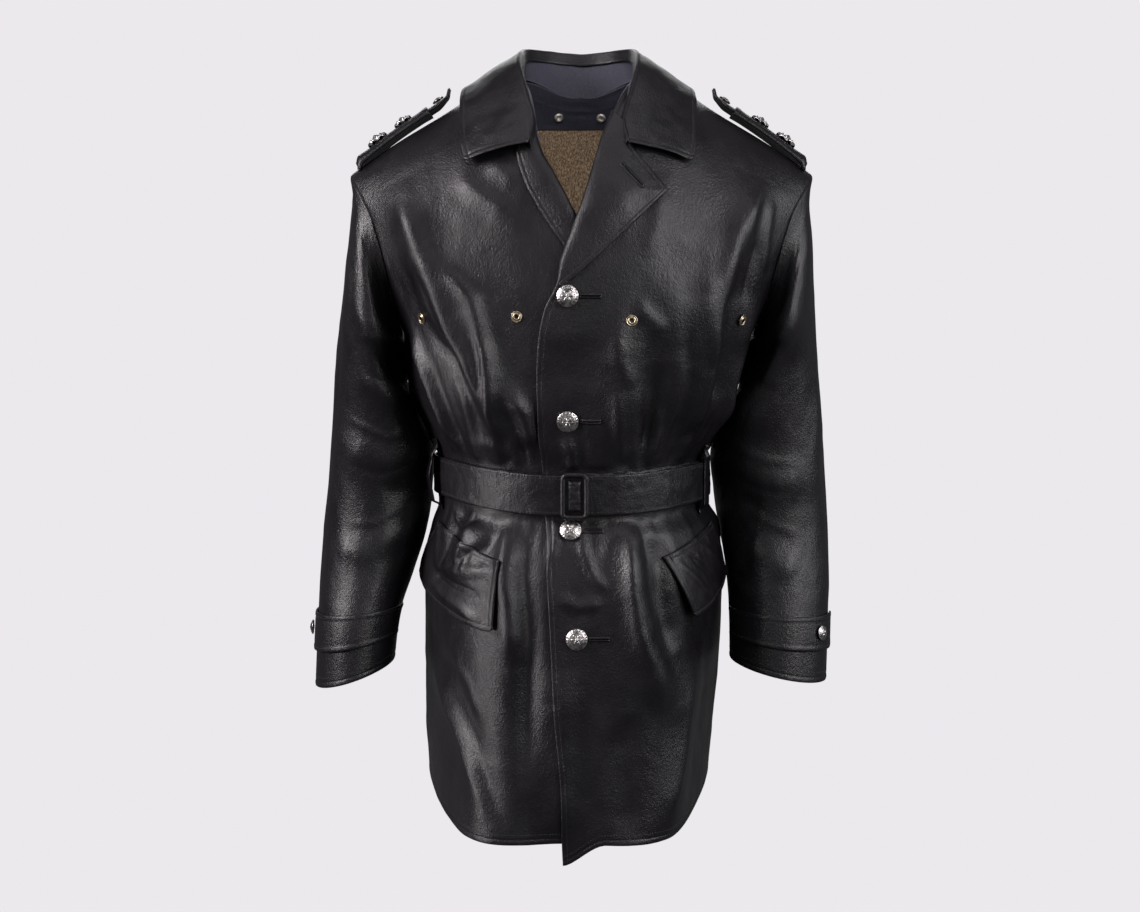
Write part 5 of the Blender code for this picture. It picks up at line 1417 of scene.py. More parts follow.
def neckline_curve():
    """The coat's neckline, from the right front edge round the back to the left one."""
    levels = np.linspace(1.5, 1.95, 12)
    right = coat(front_edge(-1, levels), levels)
    left_edge = front_edge(1, levels)
    left = coat(left_edge, levels, overlap_lift(left_edge, levels))
    around = np.linspace(4 - NECK_AROUND, 4 + NECK_AROUND, 21)[::-1]
    return np.concatenate([right, coat(around, back_neck_level(around)), left[::-1]])


def resampled(points, count):
    """Points at even distances along a line."""
    run = run_along(points)
    return pick(points, run, np.linspace(0, run[-1], count))


def stand_piece():
    fold = mirrored(COLLAR_FOLD)[1:-1]
    top = curve_through(fold, np.linspace(0, len(fold) - 1, STAND_POINTS)) - UPWARD * STAND_TOP[0]
    low = resampled(neckline_curve(), STAND_POINTS)
    low = low + unit((COLLAR_MID - low) * LEVEL_ONLY) * (WALL + STAND_LAP[0]) - UPWARD * STAND_LAP[1]
    top = top + unit((COLLAR_MID - top) * LEVEL_ONLY) * STAND_TOP[1]
    up = np.linspace(0, 1, 30)[None, :]
    grid = low[:, None] + (top - low)[:, None] * up[..., None]
    along = np.arange(STAND_POINTS)[:, None] / 6.0
    pucker = 0.0009 * noise_at(along + 3, up * 3.0 + 2) + 0.0005 * noise_at(along * 3 + 3, up * 9 + 7)
    outward = (grid - COLLAR_MID) * LEVEL_ONLY
    edges = ("none", "none", "seam", "none")
    piece = shell("collar_stand", grid, WALL, NAVY, edges, outward, bumps=pucker)[0]
    finished(piece, "collar_stand")


# Inside of the neck

def inside_piece(name, around, level, gap, finish, edges, bumps=None):
    """A cloth shell inside the coat, a gap away from its wall."""
    grid = coat(around, level, -WALL - gap)
    inward = -body_normal(around, level)
    inner = grid + inward * LINING_WALL
    piece, outer, normal = shell(name, inner, LINING_WALL, finish, edges, inward, bumps=bumps)
    finished(piece, name)
    return outer, normal


# How the facing's lower edge runs level: its rise at the sides, its dip at the centre and the
# dip's width
FACING_SAG = (0.012, 0.050, 0.38)


def neck_inside():
    around = np.linspace(3.40, 4.60, 90)[None, :]
    from_middle = np.abs(around - 4)
    top = back_neck_level(around) - 0.004 - 0.10 * ease((from_middle - 0.22) / 0.3)
    up = steps_along(0, 1, (0.0, 0.01, 0.03, 0.06), (0.0, 0.02), 26)[:, None]
    rise, dip, dip_width = FACING_SAG
    low = FACING_LOW + rise - dip * np.clip(1 - from_middle / dip_width, 0, 1)
    level = low + (top - low) * up
    around = np.broadcast_to(around, level.shape)
    crease = 0.0008 * noise_at(around * 6 + 20, up * 7 + 3) + 0.0005 * bell(up - 0.55, 0.03)
    edges = ("round", "none", "none", "none")
    outer, normal = inside_piece("neck_facing", around, level, FACING_GAP, NAVY, edges, crease)
    stitches("stitches_facing", [line_at(outer, normal, 0, 0.003)], 0.0028)
    around, level = np.meshgrid(np.linspace(2.80, 5.20, 150), np.linspace(*LINING_LEVELS, 130))
    inside_piece("lining_back", around, level, INSIDE_GAP, WOOL, ("none",) * 4)


# Belt

BELT_ALONG = 900
BELT_TIP = 0.020
UNDER_LAYER_RISE = 0.0022
ALL_ROUND = ("round",) * 4
STRAP_ROWS = ((0, STRAP_STITCH), (1, STRAP_STITCH))
STRAP_EDGES = ("stitched", "stitched", "round", "round")


def belt_piece():
    around = np.linspace(BELT_START, BELT_END, BELT_ALONG)[None, :]
    across = steps_along(-BELT_HALF, BELT_HALF, BELT_KNOTS, BELT_KNOTS, 12)[:, None]
    left = (BELT_END - around) * FOLD_SCALE_AROUND
    narrow = np.sqrt(np.clip(1 - (1 - np.clip(left / BELT_TIP, 0, 1)) ** 2, 0.02, 1))
    lumps = 1 + 0.7 * noise_at(around * 13 + 5, around * 0 + 3)
    rise = UNDER_LAYER_RISE * (1 - ease((around - 1.3) / 0.5)) * lumps
    level = z_level(BELT_MIDDLE + belt_line(around) + across * narrow + rise)
    around = np.broadcast_to(around, level.shape)
    wave = 0.0006 * noise_at(around * 4 + 11, across * 60 + 30)
    wave = wave + 0.00025 * noise_at(around * 17 + 5, across * 160 + 30)
    stitch_turns = 2 * np.pi * around * FOLD_SCALE_AROUND / 0.0042
    pucker = 0.00022 * np.sin(stitch_turns) * bell(BELT_HALF - np.abs(across) - 0.0030, 0.0016)
    grid = coat(around, level, belt_rest(around) + BELT_WALL)
    outward = body_normal(around, level)
    outer, normal = leather_piece("belt", grid, BELT_WALL, ALL_ROUND, outward, bumps=wave + pucker)
    sew("belt", outer, normal, STRAP_ROWS)


def ring_mesh(name, path, radius, sides, finish, up):
    """A closed ring of round section along a path of points."""
    heading = unit(np.roll(path, -1, 0) - np.roll(path, 1, 0))
    across = unit(np.cross(heading, up))[:, None]
    angle = round_angles(sides)[None, :, None]
    points = path[:, None] + radius * (np.cos(angle) * across + np.sin(angle) * up)
    index = np.arange(len(path) * sides).reshape(len(path), sides)
    ahead = np.roll(index, -1, 0)
    faces = np.stack([index, np.roll(index, -1, 1), np.roll(ahead, -1, 1), ahead], -1).reshape(-1, 4)
    facing = np.cross(points[0, 1] - points[0, 0], points[1, 0] - points[0, 0])
    if (facing * (points[0, 0] - path[0])).sum() < 0:
        faces = faces[:, ::-1]
    return add_mesh(name, points.reshape(-1, 3), faces, finish)


def buckle_pieces():
    wide, tall = BUCKLE_HALF
    path = []
    for index, (sx, sz) in enumerate(((1, 1), (-1, 1), (-1, -1), (1, -1))):
        for step in range(9):
            angle = math.radians(90 * index + 90 * step / 8)
            path.append((
                sx * (wide - BUCKLE_CORNER) + BUCKLE_CORNER * math.cos(angle),
                sz * (tall - BUCKLE_CORNER) + BUCKLE_CORNER * math.sin(angle),
            ))
    path = np.array([*path, path[0]])
    path = resampled(path, 121)[:-1]
    around = front_place(BUCKLE_X + path[:, 0], np.full(len(path), BELT_MIDDLE))[0]
    out = OVERLAP_LIFT + BELT_OVER + BELT_WALL + BUCKLE_GAP + BUCKLE_RADIUS
    points = coat(around, z_level(BELT_MIDDLE + path[:, 1]), out)
    depth = points[:, 1].min()
    points[:, 1] = depth
    finished(ring_mesh("buckle", points, BUCKLE_RADIUS, 20, LEATHER, OUT), "buckle")
    sx, sz = np.meshgrid(np.linspace(-1, 1, 24), steps_along(-1, 1, ROUND_KNOTS, ROUND_KNOTS, 30))
    dome = 0.0030 * (1 - sx**4) * (1 - sz**8) + 0.0004 * noise_at(sx * 2 + 9, sz * 6 + 9)
    half_wide, half_tall = BAR_HALF
    x, z = BUCKLE_X + sx * half_wide, BELT_MIDDLE + sz * half_tall
    grid = np.stack([x, depth + 0.0012 - dome, z], -1)
    strip = shell("buckle_bar", grid, 0.0022, LEATHER, ALL_ROUND, OUT)[0]


def loop_piece(name, middle, slack):
    """A belt loop: a strip that leaves the coat above the belt and comes back below it."""
    stand = float(belt_rest(8 + middle if middle > 0 else middle)) + BELT_WALL + 0.0008 + slack
    heights = np.array([-0.405, -0.413, -0.4205, -0.450, -0.4795, -0.484, -0.490]) + belt_line(middle)
    lifts = np.array([0.0014, 0.0018, stand, stand + slack, stand, 0.0018, 0.0014]) + LOOP_WALL
    heights = heights + LOOP_WALL * 0.7 * np.array([0, 1, 1, 0, -1, -1, 0])
    run = np.concatenate([[0], np.cumsum(np.hypot(np.diff(heights), np.diff(lifts)))])
    at = np.linspace(0, run[-1], 90)
    soft = np.convolve(np.pad(np.interp(at, run, lifts), 3, "edge"), np.ones(7) / 7, "valid")
    height = np.interp(at, run, heights)[:, None]
    half = LOOP_HALF / FOLD_SCALE_AROUND
    across = steps_along(-half, half, (0, 0.003, 0.010, 0.02), (0, 0.003, 0.010, 0.02), 8)[None, :]
    around = np.broadcast_to(middle + across, (len(at), across.shape[1]))
    level = np.broadcast_to(z_level(height), around.shape)
    grid = coat(around, level, np.broadcast_to(soft[:, None], around.shape))
    leather_piece(name, grid, LOOP_WALL, ALL_ROUND, body_normal(around, level))


# Creases of the pocket flaps in millimetres: width, height, and points across and down from
# the top inner corner
LEFT_FLAP_CREASES = (
    (5, 1.6, ((10, 10), (30, 45), (40, 70))),
    (4, -1.4, ((30, 8), (50, 40), (62, 70))),
    (5, 1.4, ((60, 8), (75, 40), (80, 70))),
)
RIGHT_FLAP_CREASES = (
    (6.5, 2.4, ((66, 36), (32, 23), (2, 11))),
    (6, 2.4, ((80, 54), (56, 60), (32, 60), (10, 70))),
    (5, -2, ((76, 46), (44, 44), (12, 39))),
    (3, 1.2, ((40, 8), (36, 26))),
    (3, 1.2, ((52, 8), (49, 22))),
)


FLAP_SIZE = (0.100, 0.075)
FLAP_CORNER = 0.006


def flap_piece(name, corners, lifts, creases):
    top_inner, top_outer, bottom_outer, bottom_inner = (np.array(c) for c in corners)
    wide, tall = FLAP_SIZE
    d = steps_along(0, 1, (0.0, 0.01, 0.03, 0.06, 0.08, 0.10), EDGE_KNOTS / tall, 40)
    a = steps_along(0, 1, EDGE_KNOTS / wide, EDGE_KNOTS / wide, 70)
    d, a = np.meshgrid(d, a, indexing="ij")
    a, d = rounded_ends(a, d, wide, tall, FLAP_CORNER)
    down, across = d[..., None], a[..., None]
    top = top_inner + (top_outer - top_inner) * across
    bottom = bottom_inner + (bottom_outer - bottom_inner) * across
    around, z = np.moveaxis(top + (bottom - top) * down, -1, 0)
    level = z_level(z - 0.006 * np.sin(np.pi * a) * d)
    lift = TRIM_GAP + 0.0004 + d**1.5 * (lifts[0] + (lifts[1] - lifts[0]) * a)
    puckers = 0.0005 * noise_at(a * 16 + 6, d * 2 + 7) * bell(d - 0.22, 0.2)
    beads = 0.00025 * np.sin(2 * np.pi * a * wide / 0.0040) * bell((1 - d) * tall - 0.0030, 0.0016)
    waves = 0.0008 * noise_at(a * 3 + 3, d * 3 + 12)
    top_welt = 0.0006 * bell(d * tall - 0.0030, 0.0020) - 0.0005 * bell(d * tall - 0.0066, 0.0009)
    drape = sum(
        fold_height(a * wide, d * tall, np.array(points) / MM_PER_M, width / MM_PER_M, height / MM_PER_M)
        for width, height, points in creases
    )
    bumps = puckers + beads + waves + top_welt + drape
    grid = coat(around, level, lift + FLAP_WALL)
    edges = ("round", "stitched", "stitched", "stitched")
    outer, normal = leather_piece(name, grid, FLAP_WALL, edges, body_normal(around, level), bumps=bumps)
    sew(name, outer, normal, [(edge, STITCH_INSET) for edge in range(4)])


# Cuffs and shoulders

def strap_piece(name, side):
    first, last = STRAP_TURNS[side]
    turn = np.linspace(first, last, 170)[None, :]
    middle = sum(STRAP_LENGTHS) / 2
    half = (STRAP_LENGTHS[1] - STRAP_LENGTHS[0]) / 2
    taper = 0.12 + 0.88 * ease((turn - first) / 1.1 + 0.02)
    across = steps_along(-1, 1, BELT_KNOTS / 0.02, BELT_KNOTS / 0.02, 10)[:, None]
    length = middle + half * taper * across
    grid = np.stack([sleeve(side, turn, row[None, :], TRIM_GAP + STRAP_WALL)[0] for row in length])
    outward = np.broadcast_to(sleeve_normal(side, turn, np.full((1, 1), middle)), grid.shape)
    outer, normal = leather_piece(name, grid, STRAP_WALL, STRAP_EDGES, outward)
    sew(name, outer, normal, STRAP_ROWS)


def epaulette_piece(name, side):
    x = EPAULETTE_ENDS[0] - np.linspace(0, 1, 120) * (EPAULETTE_ENDS[0] - EPAULETTE_ENDS[1])
    half = EPAULETTE_HALF * (1 - 0.72 * ease((0.164 - x) / 0.026))
    knots = BELT_KNOTS / EPAULETTE_HALF
    w = half[None, :] * steps_along(-1, 1, knots, knots, 12)[:, None]
    out = np.broadcast_to(epaulette_out(x) + EPAULETTE_WALL, w.shape)
    grid = shoulder_top(side, np.broadcast_to(x, w.shape), w, out)
    outward = np.broadcast_to((0.0, 0.0, 1.0), grid.shape)
    outer, normal = leather_piece(name, grid, EPAULETTE_WALL, STRAP_EDGES, outward)
    sew(name, outer, normal, STRAP_ROWS)


SLIDE_REACH = 0.0070


def slide_piece(name, side):
    """A flat tube of leather round the outer end of the epaulette."""
    x = np.linspace(SLIDE_ENDS[0] + SLIDE_REACH, SLIDE_ENDS[1], 60)
    turn = np.linspace(0, 2 * np.pi, 97)[:-1]
    middle = epaulette_out(x) + EPAULETTE_WALL / 2
    half_thick = EPAULETTE_WALL / 2 + SLIDE_GAP + SLIDE_WALL
    flare = 1 + 0.30 * ease((0.184 - x) / 0.012) + 0.45 * ease((x - 0.238) / 0.018)
    wide = (np.sign(np.cos(turn)) * np.abs(np.cos(turn)) ** 0.35)[:, None]
    thick = (np.sign(np.sin(turn)) * np.abs(np.sin(turn)) ** 0.8)[:, None]
    grid, inner = (
        shoulder_top(side, x[None, :], (SLIDE_HALF - wall) * wide, middle + (half_thick * flare - wall) * thick)
        for wall in (0.0, SLIDE_WALL)
    )
    rows, columns = grid.shape[:2]
    index = np.arange(rows * columns).reshape(rows, columns)
    loop = np.concatenate([index, index[:1]])
    within = loop + rows * columns
    faces = [quad_faces(loop), quad_faces(within)[:, ::-1]]
    faces.append(quad_faces(np.stack([within[:, 0], loop[:, 0]], 1)))
    faces.append(quad_faces(np.stack([loop[:, -1], within[:, -1]], 1)))
    faces = np.concatenate(faces)
    if side < 0:
        faces = faces[:, ::-1]
    piece = add_mesh(name, np.concatenate([grid.reshape(-1, 3), inner.reshape(-1, 3)]), faces, LEATHER)
    finished(piece, name)


# Metal pieces

def frame_at(place, direction):
    """A place as an origin, with directions across it, up it and out of it."""
    direction = unit(np.asarray(direction, float))
    across = unit(np.cross((0.0, 0.3, 1.0), direction))
    return np.asarray(place, float), across, np.cross(direction, across), direction


def turned(name, profile, relief, place, direction, finish, scale=1.0, sides=96):
    """A turned piece with relief on its face. The profile runs from radius to height outwards."""
    origin, across, up, axis = frame_at(place, direction)
    angle = round_angles(sides)
    ring = np.cos(angle)[:, None] * across + np.sin(angle)[:, None] * up
    points = []
    for r, h in profile:
        lift = relief(np.full(sides, r), angle) if relief else np.zeros(sides)
        points.append(origin + scale * (r * ring + (h + lift)[:, None] * axis))
    index = np.arange(len(profile) * sides).reshape(len(profile), sides)
    loop = np.concatenate([index, index[:, :1]], 1)
    faces = quad_faces(np.concatenate([loop, loop[:1]]))
    made = add_mesh(name, np.concatenate(points), faces, finish)
    fix_normals(made)
    return made


SAME_PLACE = 1e-6


def fix_normals(made):
    """Merges points that lie together and turns every face outwards."""
    work = bmesh.new()
    work.from_mesh(made.data)
    bmesh.ops.remove_doubles(work, verts=work.verts, dist=SAME_PLACE)
    bmesh.ops.recalc_face_normals(work, faces=work.faces)
    work.to_mesh(made.data)
    work.free()
    made.data.shade_smooth()


BUTTON_RADIUS = 0.0120
BADGE_RADIUS = 0.0090


def button_relief(r, angle):
    """A plain generic relief: a roped rim, a ring of beads and a six-leaved rosette."""
    t = r / BUTTON_RADIUS
    rope = 0.00030 * np.sin(22 * angle + 700 * r) * bell(t - 0.90, 0.06)
    beads = 0.00034 * np.maximum(np.cos(30 * angle), 0) * bell(t - 0.70, 0.05)
    reach = 0.30 + 0.22 * np.cos(6 * angle)
    leaves = 0.00050 * ease((reach + 0.06 - t) / 0.10) * (1 - 0.45 * bell(np.sin(3 * angle), 0.16))
    heart = 0.00050 * bell(t, 0.12) - 0.00025 * bell(t - 0.17, 0.04)
    return (rope + beads + leaves + heart) * (t < 0.99)


def dome_profile(radius, height, under, steps=30):
    """From the axis over a shallow dome to the rim, and back underneath."""
    t = np.linspace(0, 1, steps)
    dome = [(1e-5 + radius * 0.97 * a, under + height * (1 - a**2.2)) for a in t]
    rim = [(radius, under - 0.0002), (radius * 1.012, under - 0.0008), (radius, under - 0.0014)]
    shank = [(radius * 0.92, under - 0.0020), (0.0034, under - 0.0022), (0.0030, 0.0003), (1e-5, 0.0003)]
    return dome + rim + shank


def badge_relief(r, angle):
    """A generic badge: eight rounded rays around a beaded dome."""
    t = r / BADGE_RADIUS
    rays = 0.0013 * np.cos(8 * angle) * bell(t - 0.80, 0.25)
    beads = 0.0004 * np.maximum(np.cos(16 * angle), 0) * bell(t - 0.52, 0.07)
    return (rays + beads) * (t < 1.0)


def badge_profile():
    t = np.linspace(0, 1, 34)
    high = 0.0016 + 0.0042 * bell(t, 0.36) + 0.0016 * bell(t - 0.58, 0.12)
    face = [(1e-5 + 0.0088 * a, h) for a, h in zip(t, high)]
    return face + [(BADGE_RADIUS, 0.0010), (0.0086, 0.0004), (1e-5, 0.0004)]


# Profiles of the snaps and the eyelets, as radius and height
SNAP_SHAPE = (
    (1e-5, 0.0019), (0.0012, 0.0019), (0.0022, 0.0021), (0.0030, 0.0026), (0.0038, 0.0027),
    (0.0046, 0.0023), (0.0052, 0.0016), (0.0055, 0.0009), (0.0052, 0.0003), (1e-5, 0.0002),
)
EYELET_SHAPE = (
    (0.0023, 0.0006), (0.0024, 0.0015), (0.0028, 0.0021), (0.0036, 0.0021), (0.0041, 0.0014),
    (0.0045, 0.0007), (0.0051, 0.0008), (0.0056, 0.0013), (0.0061, 0.0012), (0.0064, 0.0005),
    (0.0060, 0.0002), (0.0036, 0.0002),
)


def metal(name, shape, relief, place, direction, finish, slot, scale=1.0, sides=96):
    """A turned piece in the place of its solid."""
    piece = turned(name, shape, relief, place, direction, finish, scale, sides)
    finished(piece, name)


def slit_piece(name, start, end, out):
    """A bound buttonhole: two welts with a narrow opening between them and a bar at each end."""
    start, end = np.array(start), np.array(end)
    length = np.linalg.norm(end - start)
    along = (end - start) / length
    across = np.array([-along[1], along[0]])
    s = np.linspace(-0.0008, length + 0.0008, 46)
    w = np.linspace(-1, 1, 29) * (HOLE_HALF + 0.0006)
    s, w = np.meshgrid(s, w, indexing="ij")
    seen = start + s[..., None] * along + w[..., None] * across
    around, level = front_grid(seen[..., 0], seen[..., 1])
    inside = np.clip(np.minimum(s, length - s) / 0.0012, 0, 1)
    off_welt = np.abs(w) - 0.0013
    welts = 0.0011 * bell(off_welt, 0.0007) * ease(inside + 0.35)
    ribs = 0.00012 * np.sin(2 * np.pi * s / 0.0011) * bell(off_welt, 0.0008)
    from_end = np.minimum(np.abs(s), np.abs(length - s))
    bars = 0.0011 * bell(from_end, 0.0006) * (np.abs(w) < HOLE_HALF)
    opening = -0.0006 * bell(w, 0.0004) * inside
    raised = np.maximum(welts + ribs, bars)
    lift = out + overlap_lift(around, level) + HOLE_WALL + raised + opening - 0.0004
    grid = coat(around, level, lift)
    leather_piece(name, grid, HOLE_WALL * 0.6, ALL_ROUND, body_normal(around, level))


def metal_pieces():
    dome = dome_profile(BUTTON_RADIUS, 0.0034, 0.0036)
    for number, (x, z) in enumerate(FRONT_BUTTONS, 1):
        on_lapel = 0.0012 if number == 1 else 0.0
        metal(f"button_{number}", dome, button_relief, *on_front(x, z, 0.0006 + on_lapel), PEWTER, "buttons")
        slit_piece(f"buttonhole_{number}", (x + HOLE_REACH[0], z), (x + HOLE_REACH[1], z), 0.0008)
    slit_piece("buttonhole_5", *LAPEL_HOLE, 0.0067)
    for number, (x, z, out) in enumerate(EYELETS, 1):
        metal(f"eyelet_{number}", EYELET_SHAPE, None, *on_front(x, z, out), BRASS, "eyelets", sides=48)
    for number, (x, z) in enumerate(SNAPS, 1):
        around, level = front_place(x, z, back=True)
        place = coat(around, level, -WALL - FACING_GAP - LINING_WALL - 0.0003)[0]
        facing = -body_normal(around, level)[0]
        metal(f"snap_{number}", SNAP_SHAPE, None, place, facing, NICKEL, "snaps", sides=48)
    for side, word in ((1, "left"), (-1, "right")):
        shoulder_metal(side, word, dome)


INSIGNIA = ((0.230, 1.5), (0.200, 1.3))


def shoulder_metal(side, word, dome):
    """The buttons of a cuff and a shoulder strap, and the insignia on the rank slide."""
    turn = CUFF_BUTTON_TURN[side]
    spot = np.array([[turn]]), np.array([[9.08]])
    place = sleeve(side, *spot, TRIM_GAP + STRAP_WALL + 0.0004)[0, 0]
    facing = sleeve_normal(side, *spot)[0, 0]
    metal(f"cuff_button_{word}", dome, button_relief, place, facing, PEWTER, "buttons", 0.72)
    x = BUTTON_ON_SHOULDER
    place = shoulder_top(side, x, 0, epaulette_out(x) + EPAULETTE_WALL + 0.0004)
    facing = epaulette_normal(side, x)
    metal(f"epaulette_button_{word}", dome, button_relief, place, facing, PEWTER, "buttons", 0.62)
    for number, (x, size) in enumerate(INSIGNIA, 1):
        out = epaulette_out(x) + EPAULETTE_WALL + SLIDE_GAP + SLIDE_WALL + 0.0003
        place = shoulder_top(side, x, 0, out)
        facing = epaulette_normal(side, x)
        badge = badge_profile()
        metal(f"insignia_{word}_{number}", badge, badge_relief, place, facing, SILVER, "insignia", size)


# Studio

PHOTO_SIZE = (1140, 912)
PHOTO_FOCAL_PIXELS = 1684.68
SENSOR = 36.0
CAMERA_PLACE = (-0.0035, -2.0, -0.200)
CAMERA_TILT = math.atan(0.11039)
BACKDROP = (0.838, 0.814, 0.847)
FLOOR_Z = -1.30
FLOOR_RADIUS = 4.0
FLOOR_CURVE = 2.0
FLOOR_SIDES = 64
WALL_TOP = 6.0


def camera():
    lens = bpy.data.cameras.new("camera")
    lens.sensor_width = SENSOR
    lens.lens = SENSOR * PHOTO_FOCAL_PIXELS / PHOTO_SIZE[0]
    made = bpy.data.objects.new("camera", lens)
    made.location = CAMERA_PLACE
    made.rotation_euler = (math.pi / 2 - CAMERA_TILT, 0, 0)
    bpy.context.scene.collection.objects.link(made)
    bpy.context.scene.camera = made


def area_light(name, place, target, size, power, colour=(1, 1, 1)):
    lamp = bpy.data.lights.new(name, "AREA")
    lamp.shape = "RECTANGLE"
    lamp.size, lamp.size_y = size
    lamp.energy = power
    lamp.color = colour
    made = bpy.data.objects.new(name, lamp)
    made.location = place
    aim = Vector(target) - Vector(place)
    made.rotation_euler = aim.to_track_quat("-Z", "Y").to_euler()
    made.visible_camera = False
    bpy.context.scene.collection.objects.link(made)
    return made


# Area lights: name, place, aim, width and height, power in watts and colour
LIGHTS = (
    ("key left", (-2.20, -1.10, 0.76), (-0.05, 0.0, -0.30), (1.0, 1.3), 70.0, (1.0, 0.945, 0.975)),
    ("key right", (1.60, -1.60, 0.60), (0.05, 0.0, -0.35), (0.7, 1.4), 27.0, (1.0, 0.96, 0.98)),
    ("rim right", (2.3, -0.5, 0.3), (0.1, 0.0, -0.35), (0.6, 1.6), 14.0, (0.96, 0.95, 1.0)),
    ("top", (0.0, -0.6, 1.7), (0.0, 0.0, 0.0), (1.4, 0.8), 6.0, (1.0, 0.97, 1.0)),
    ("front", (0.0, -2.7, 0.3), (0.0, 0.0, -0.2), (1.6, 0.8), 3.0, (1.0, 0.97, 0.98)),
    ("behind", (0.0, 2.2, 0.8), (0.0, 0.0, -0.3), (1.8, 1.2), 18.0, (1.0, 1.0, 1.0)),
)
# Two more lights are shaded with cards, so that each reaches only the pieces named with it
NECK_LIGHT = ("neck", (0.0, -1.6, 0.75), (0.0, 0.0, -0.02), (0.5, 0.3), 14.0, (1.0, 0.97, 0.95))
LOW_LIGHT = (
    "low left", (-2.15, -0.75, -0.85), (-0.05, 0.0, -0.42), (0.8, 0.6), 15.0, (1.0, 0.945, 0.975),
)
LOW_PIECES = ("front_left", "front_right", "belt", "buckle", "stitches_belt", "pocket_flap_right")
NECK_PIECES = ("collar_stand", "neck_facing", "lining_back", "snap_1", "snap_2", "stitches_facing")
WORLD_STRENGTH = 0.11


def shaded_light(row, names):
    """Adds a light that reaches only the pieces of these names."""
    lit = bpy.data.collections.new(row[0])
    for name in names:
        lit.objects.link(PIECES[name])
    area_light(*row).light_linking.receiver_collection = lit


def studio():
    world = bpy.data.worlds.new("studio")
    world.use_nodes = True
    world.node_tree.nodes["Background"].inputs["Color"].default_value = (*BACKDROP, 1)
    world.node_tree.nodes["Background"].inputs["Strength"].default_value = WORLD_STRENGTH
    bpy.context.scene.world = world
    for row in LIGHTS:
        area_light(*row)
    backdrop()
    bpy.context.scene.view_settings.view_transform = "Standard"


def backdrop():
    """A pale floor that curves up into a wall on every side."""
    made, tree, surface = new_finish("backdrop")
    tree.nodes.remove(surface)
    glow = node(tree, "ShaderNodeEmission")
    glow.inputs["Color"].default_value = (*BACKDROP, 1)
    tree.links.new(glow.outputs["Emission"], tree.nodes["Material Output"].inputs["Surface"])
    rings = [(FLOOR_RADIUS, FLOOR_Z)]
    for a in np.linspace(0.1, math.pi / 2, 12):
        rings.append((FLOOR_RADIUS + FLOOR_CURVE * math.sin(a), FLOOR_Z + FLOOR_CURVE * (1 - math.cos(a))))
    rings.append((FLOOR_RADIUS + FLOOR_CURVE, WALL_TOP))
    angle = round_angles(FLOOR_SIDES)
    points = [(r * math.cos(a), r * math.sin(a), z) for r, z in rings for a in angle]
    index = np.arange(len(points)).reshape(-1, FLOOR_SIDES)
    faces = quad_faces(np.concatenate([index, index[:, :1]], 1)).tolist() + [index[0].tolist()]
    mesh = bpy.data.meshes.new("backdrop")
    mesh.from_pydata(points, [], faces)
    mesh.materials.append(made)
    floor = bpy.data.objects.new("backdrop", mesh)
    for key in ("visible_diffuse", "visible_glossy", "visible_transmission", "visible_shadow"):
        setattr(floor, key, False)
    bpy.context.scene.collection.objects.link(floor)


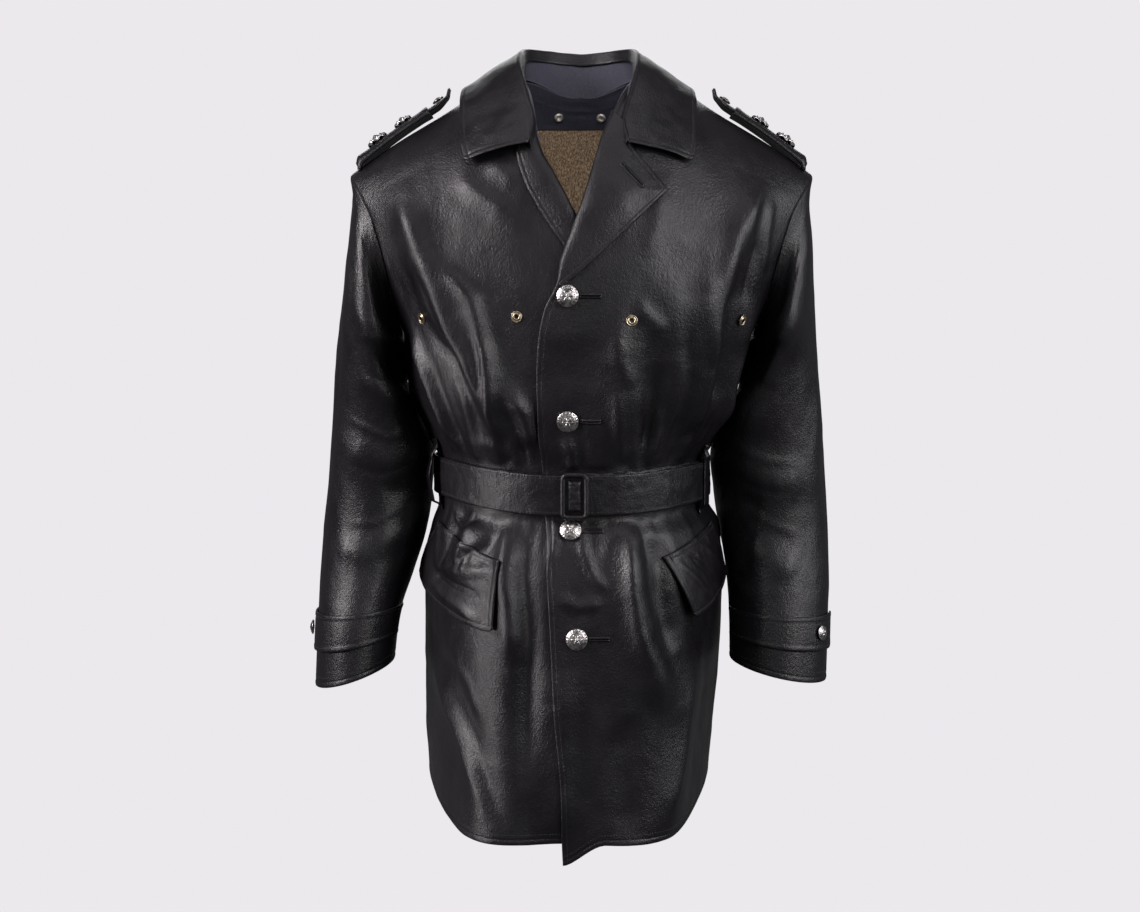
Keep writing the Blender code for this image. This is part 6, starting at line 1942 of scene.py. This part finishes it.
# The cut of every sheet that shows: width and length, flat area or None for a rectangle, how it
# is held, what it rests on or hangs from, and what is sewn on it besides its own stitches
SHEETS = (
    (
        "front_left", (0.37, 1.01), 0.280, "hung", "back",
        "buttonhole_1", "buttonhole_2", "buttonhole_3", "buttonhole_4",
    ),
    ("front_right", (0.39, 0.98), 0.272, "hung", "back"),
    ("back", (0.66, 0.93), 0.450, "hung", "collar_stand"),
    ("sleeve_left_front", (0.25, 0.605), 0.096, "hung", "front_left"),
    ("sleeve_left_back", (0.275, 0.605), 0.118, "hung", "back"),
    ("sleeve_right_front", (0.245, 0.61), 0.095, "hung", "front_right"),
    ("sleeve_right_back", (0.275, 0.61), 0.115, "hung", "back"),
    ("lapel_left", (0.112, 0.245), 0.0142, "folded", "front_left", "buttonhole_5"),
    ("lapel_right", (0.062, 0.17), 0.0072, "folded", "front_right"),
    ("collar_fall", (0.108, 0.685), 0.0600, "folded", "collar_stand", "stitches_collar"),
    ("collar_stand", (0.042, 0.53), 0.0097, "folded", "back"),
    ("neck_facing", (0.325, 0.082), 0.0170, "laid", "back", "stitches_facing"),
    ("lining_back", (0.50, 0.41), 0.140, "hung", "neck_facing"),
    ("belt", (0.046, 1.16), None, "stretched", "back"),
    ("belt_loop_left", (0.018, 0.086), None, "laid", "belt"),
    ("belt_loop_right", (0.017, 0.091), None, "laid", "belt"),
    ("pocket_flap_left", (0.132, 0.088), None, "hung", "front_left"),
    ("pocket_flap_right", (0.208, 0.095), 0.0156, "hung", "front_right"),
    ("cuff_strap_left", (0.042, 0.213), None, "stretched", "sleeve_left_front"),
    ("cuff_strap_right", (0.045, 0.229), None, "stretched", "sleeve_right_front"),
    ("epaulette_left", (0.047, 0.152), None, "laid", "front_left"),
    ("epaulette_right", (0.047, 0.152), None, "laid", "front_right"),
    ("rank_slide_left", (0.110, 0.092), None, "stretched", "epaulette_left"),
    ("rank_slide_right", (0.110, 0.092), None, "stretched", "epaulette_right"),
)


def declare_sheets():
    for name, flat, area, held, rest, *sewn_on in SHEETS:
        sewn_on = [PIECES[word] for word in ("stitches_" + name, *sewn_on) if word in PIECES]


camera()
studio()
front_piece("front_left", 1)
front_piece("front_right", -1)
back_piece()
for side, word in ((1, "left"), (-1, "right")):
    sleeve_piece(f"sleeve_{word}_front", side, FRONT_TURNS)
    sleeve_piece(f"sleeve_{word}_back", side, BACK_TURNS)
    lapel_piece(f"lapel_{word}", side)
    strap_piece(f"cuff_strap_{word}", side)
    epaulette_piece(f"epaulette_{word}", side)
    slide_piece(f"rank_slide_{word}", side)
collar_piece()
stand_piece()
neck_inside()
belt_piece()
buckle_pieces()
loop_piece("belt_loop_left", LOOP_AROUND[0], LOOP_SLACK[0])
loop_piece("belt_loop_right", LOOP_AROUND[1], LOOP_SLACK[1])
flap_piece("pocket_flap_left", LEFT_FLAP, LEFT_FLAP_LIFT, LEFT_FLAP_CREASES)
flap_piece("pocket_flap_right", RIGHT_FLAP, RIGHT_FLAP_LIFT, RIGHT_FLAP_CREASES)
metal_pieces()
shaded_light(NECK_LIGHT, NECK_PIECES)
shaded_light(LOW_LIGHT, LOW_PIECES)
declare_sheets()
